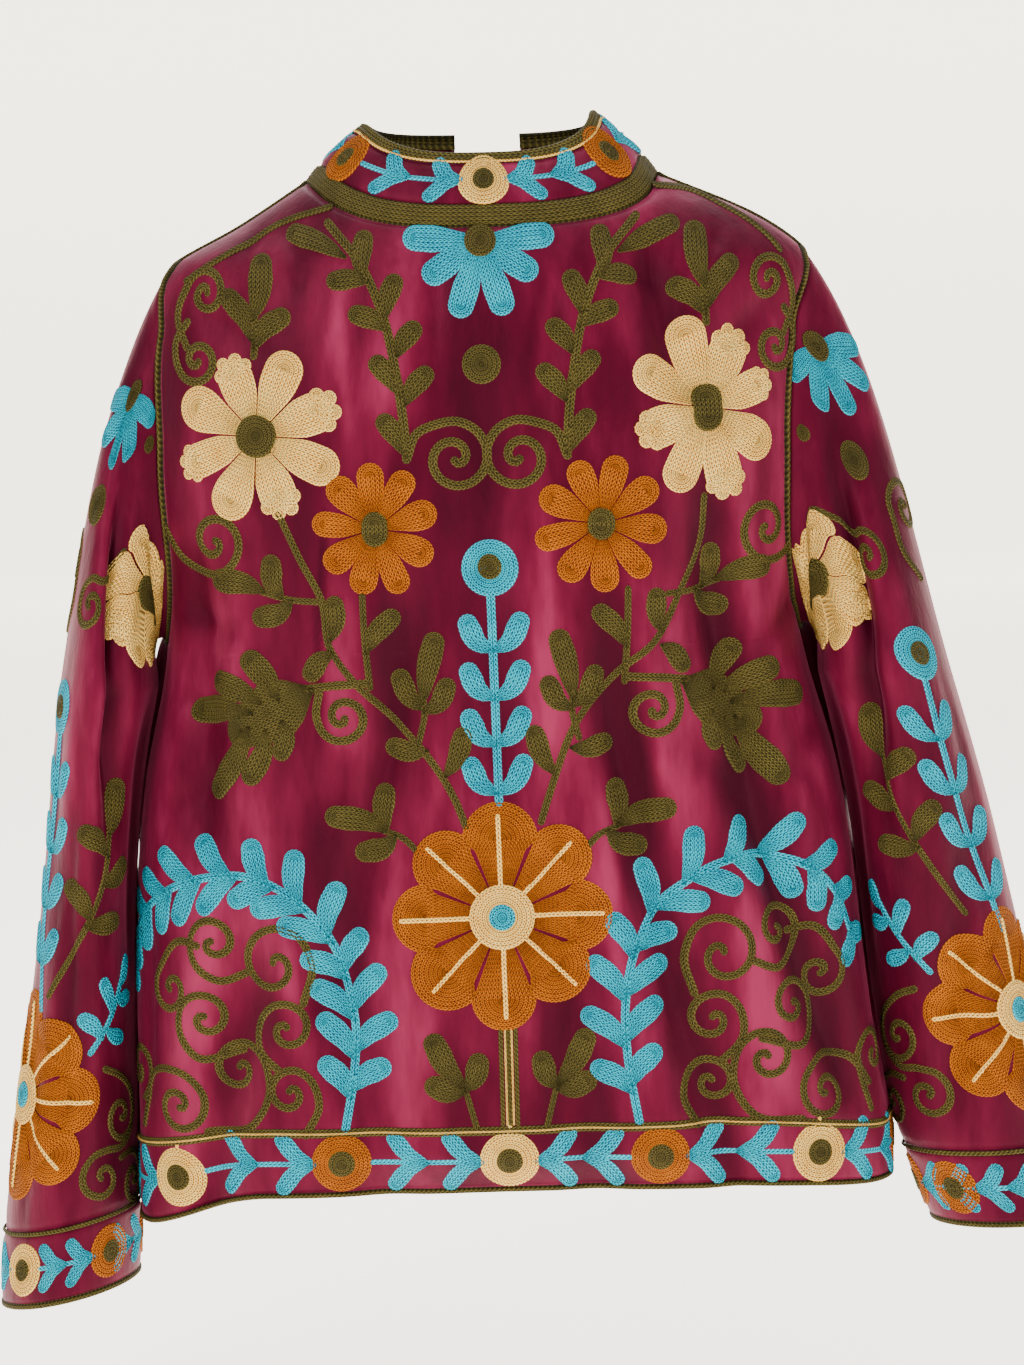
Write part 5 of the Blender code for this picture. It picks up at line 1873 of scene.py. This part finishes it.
@dataclass
class BandEmbroidery:
    """Garlands round the hem band, the collar and the cuffs, and the stitched lines along their seams."""

    materials: Materials

    @staticmethod
    def band_middle(u: float) -> float:
        """Height of the hem band's middle at a cloth distance, in millimetres."""
        q = BODY.q_of(np.array([u * MM]), np.array([-0.600]))
        return float((band_seam_z(q) + hem_z(q))[0]) / 2 / MM

    def hem(self) -> None:
        """Medallions and garlands round the hem, and the seam's olive and cream lines."""
        m = Motifs("hem_stitch", BODY.place, self.materials)
        spots = {-540: ORANGE, -436: CREAM, -328: ORANGE, -218: CREAM, -106: ORANGE, 0: CREAM, 95: ORANGE,
                 199: CREAM, 310: ORANGE, 420: CREAM, 524: ORANGE}
        for x, thread in spots.items():
            z = self.band_middle(x)
            m.medallion((x, z), 19.0, thread)
            if thread is CREAM:
                m.leaf(thread, (x, z + 15), (x + 1, z + 24), 1.4)
        for a, b in zip(list(spots), list(spots)[1:]):
            inner, outer = (a, b) if abs(a) < abs(b) else (b, a)
            way = 1 if outer > inner else -1
            m.garland(inner + way * 18, outer - way * 18, self.band_middle)
        for side in (-1, 1):
            m.garland(side * 541, side * 578, self.band_middle, 0.62)
        level = np.full(170, BAND_SEAM_Z)
        u = BODY.u_of(round_body(np.linspace(0, 1, 170), BAND_SEAM_Z, FRONT_EDGE_WIDTH), level)
        seam = np.stack([u, band_seam_z(BODY.q_of(u, level))], axis=1) / MM
        m.draw(OLIVE, seam, 2.9, 0.2, 3.5)
        m.draw(CREAM, seam - (0, 0.2), 0.7, 1.4, 3.5)
        m.build()

    def collar(self) -> None:
        """Medallions and sprigs round the collar, and the cream line under its top binding."""
        m = Motifs("collar_stitch", COLLAR.place_cloth, self.materials)
        m.medallion((-1, 31), 17.0, CREAM)
        for x, z in ((-104, 28), (92, 32), (-205, 32), (196, 32)):
            m.medallion((x, z), 15.0, ORANGE, 0.42, 1.15)
        for a, b in ((-16, -88), (15, 76), (-122, -190), (110, 180)):
            m.garland(a, b, lambda u: 31.0, 0.94, 13.0)
        m.draw(CREAM, [(s, 43.2) for s in np.linspace(-232, 232, 120)], 0.8, 0.9, 3.5)
        m.build()

    def cuff(self, side: Side) -> None:
        """Medallions and sprigs round a cuff, and its stitched seam line.

        Args:
            side: which cuff.
        """
        form, end = SLEEVES[side], SLEEVE_ENDS[side]
        girth = form.s[-1, -1] - form.s[-1, 0]

        def place(a: Array, b: Array, lift: Array) -> Array:
            """Points of the cuff at distances round and down it."""
            return form.place_turn(a / (girth / 2), 1 + b, lift)

        m = Motifs(f"cuff_stitch_{side.word}", place, self.materials)
        seam, edge = (HEAD_END_Z - end.cuff_z) / MM, (HEAD_END_Z - end.edge_z) / MM
        middle, first = (seam + edge) / 2, 109 if side is Side.RIGHT else 117
        for gone, thread in ((0, ORANGE), (70, CREAM), (140, ORANGE), (210, CREAM), (267, ORANGE)):
            x = (first - gone + 162) % 324 - 162
            m.medallion((x, middle), 16.0, thread, squeeze=1.1)
            m.garland(x - 14, x - 56, lambda u: middle, 0.84, 14.5)
        m.draw(OLIVE, [(s, seam) for s in np.linspace(-163, 163, 100)], 1.6, 0.4, 3.5)
        m.build()


@dataclass
class SleeveEmbroidery:
    """Motifs of one sleeve, in millimetres round from the outer line and down from the end of the head."""

    side: Side
    materials: Materials

    def build(self) -> None:
        """Draws and builds the sleeve's stitching; each group has its own place on the left sleeve."""
        form, left = SLEEVES[self.side], self.side is Side.LEFT
        m = Motifs(f"sleeve_stitch_{self.side.word}", form.place, self.materials)
        m.disc(OLIVE, (110, -164), 7.0)
        m.flower(CREAM, (146, -62), 50, 8, 20, OLIVE, 12.5, 15.5, (1, 3, 6))
        m.move(8 * left, 26 * left)
        m.spray((56, -222), ((20, 48), (58, 52), (96, 50), (134, 48), (172, 44)), 9, (4.0, 7.5, 9.4, 8.6), 11.5)
        m.move(-16 * left, 21 * left)
        m.disc(OLIVE, (68, -144), 14.0)
        m.scroll((86, -80), -1, ((130, -108), (112, -100), (96, -96)), 1.4)
        m.scroll((30, -108), -1, ((36, -62), (50, -80), (50, -102)), 1.4)
        m.move(-22 * left, 22 * left)
        m.disc(TURQUOISE, (66, -15), 18.0, 0.2)
        m.disc(OLIVE, (66, -15), 8.6, 1.1)
        m.stem(TURQUOISE, 2.2, (68, 2), (66, 60), *(((65, 118), (74, 180)) if left else ((54, 118), (44, 172))))
        for x, y in zip((70, 68.4, 64.8, 65.4) if left else (70, 64, 56, 50), (42, 78, 114, 150)):
            m.leaves(TURQUOISE, (x, y, x + 21, y - 22, 5.6, 3), (x, y, x - 20, y - 24, 5.6, -3))
        m.move(-8 * left, 34 * left)
        m.stem(OLIVE, 1.9, (118, 48), (108, 84), (90, 122), (70, 158))
        m.leaves(OLIVE, (116, 56, 124, 20, 6.4, 2), (112, 70, 88, 48, 5.8, 2), (106, 88, 134, 74, 5.8, 2),
                 (96, 108, 78, 82, 5.8, 2), (94, 112, 124, 112, 5.8, 2))
        down = 34 * left
        m.move(-6 * left, down)
        m.stem(TURQUOISE, 1.8, (130, 150), (118, 172), (100, 196))
        m.leaves(TURQUOISE, (128, 154, 140, 136, 4.6, 1.5), (124, 162, 144, 164, 4.6, 1.5),
                 (118, 172, 108, 148, 4.6, 1.5), (112, 182, 132, 190, 4.6, 1.5), (108, 188, 92, 170, 4.6, 1.5))
        m.wheel((41, 226), 70, 2, 20.0)
        foot = (HEAD_END_Z - form.end.cuff_z) / MM - down
        for at, hand, *lead in (
            ((131, 240), 1, (112, 208), (130, 214), (147, 230)), ((115, 280), -1, (146, 250), (134, 260), (117, 262)),
            ((150, 286), 1, (132, 268), (146, 266), (163, 276)), ((104, 306), 1, (138, 316), (124, 318), (108, 320)),
        ):
            if at[1] < foot - 12:
                m.scroll(at, hand, [(a, min(b, foot - 4)) for a, b in lead], 1.3, 2.1)
        m.build()


@dataclass
class Studio:
    """Pale floor and wall, soft lamps and the camera."""

    target: Vector = field(default_factory=lambda: Vector((0.009, -0.02, -0.3015)))
    distance: float = 3.0
    lens: float = 123.6
    elevation: float = 5.0
    roll: float = -1.45
    floor_z: float = -0.78
    wall_start: float = 8.0
    wall_bend: float = 1.2

    def show(self, name: str, data: bpy.types.ID) -> bpy.types.Object:
        """An object of some data, in the scene.

        Args:
            name: the object's name.
            data: its mesh, light or camera.
        Returns:
            The object.
        """
        made = bpy.data.objects.new(name, data)
        bpy.context.scene.collection.objects.link(made)
        return made

    def backdrop(self) -> None:
        """Seamless floor that curves up behind the jacket."""
        shaped = bmesh.new()
        bmesh.ops.create_grid(shaped, x_segments=2, y_segments=120, size=12.0)
        for vert in shaped.verts:
            past = max(vert.co.y - self.wall_start, 0.0) / self.wall_bend
            turn = min(past, math.pi / 2)
            vert.co.y = min(vert.co.y, self.wall_start) + self.wall_bend * math.sin(turn)
            vert.co.z = self.floor_z + self.wall_bend * (1 - math.cos(turn) + past - turn)
        mesh = bpy.data.meshes.new("studio_floor")
        shaped.to_mesh(mesh)
        shaped.free()
        mesh.shade_smooth()
        mesh.materials.append(PaperFinish("studio_paper", linear(240, 232, 220)).make())
        self.show("studio_floor", mesh)

    def lamp(self, name: str, place: Point, size: float, power: float, colour: Point) -> None:
        """Large soft lamp aimed at the jacket.

        Args:
            name: the lamp's name.
            place: where it stands.
            size: its width.
            power: its power in watts.
            colour: its colour.
        """
        data = bpy.data.lights.new(name, "AREA")
        data.shape, data.size, data.energy, data.color = "DISK", size, power, colour
        lamp = self.show(name, data)
        lamp.location = place
        lamp.rotation_euler = (self.target - Vector(place)).to_track_quat("-Z", "Y").to_euler()

    def camera(self) -> None:
        """Camera at the photograph's angle."""
        rise = math.radians(self.elevation)
        away = Vector((0, -math.cos(rise), math.sin(rise)))
        data = bpy.data.cameras.new("camera")
        data.sensor_width, data.lens = 36.0, self.lens
        camera = self.show("camera", data)
        turn = (-away).to_track_quat("-Z", "Y").to_matrix().to_4x4()
        tilt = Matrix.Rotation(math.radians(self.roll), 4, "Z")
        camera.matrix_world = Matrix.Translation(self.target + away * self.distance) @ turn @ tilt
        bpy.context.scene.camera = camera

    def build(self) -> None:
        """Sets the whole stage."""
        self.backdrop()
        self.lamp("key", (-1.5, -2.2, 1.5), 1.1, 84.0, (1.0, 0.98, 0.95))
        self.lamp("fill", (2.2, -2.0, 0.4), 1.6, 36.0, (1.0, 0.98, 0.96))
        self.lamp("top", (0.1, 0.4, 2.2), 1.4, 34.0, (1.0, 1.0, 1.0))
        self.lamp("behind", (0.0, 2.6, 1.8), 2.4, 60.0, (1.0, 1.0, 1.0))
        world = bpy.data.worlds.new("studio")
        world.use_nodes = True
        sky = world.node_tree.nodes["Background"].inputs
        sky[0].default_value, sky[1].default_value = (1.0, 0.985, 0.965, 1.0), 0.55
        bpy.context.scene.world = world
        self.camera()


def main() -> None:
    """Builds the jacket and its stage."""
    logging.basicConfig(level=logging.INFO)
    materials = Materials()
    BodyPanels(materials.velvet).build()
    for side in Side:
        SleevePiece(side, materials.velvet).build()
    Trimmings(materials).build()
    BackEmbroidery().build(materials)
    for side in Side:
        SleeveEmbroidery(side, materials).build()
    bands = BandEmbroidery(materials)
    bands.hem()
    bands.collar()
    for side in Side:
        bands.cuff(side)
    Studio().build()


if __name__ == "__main__":
    main()
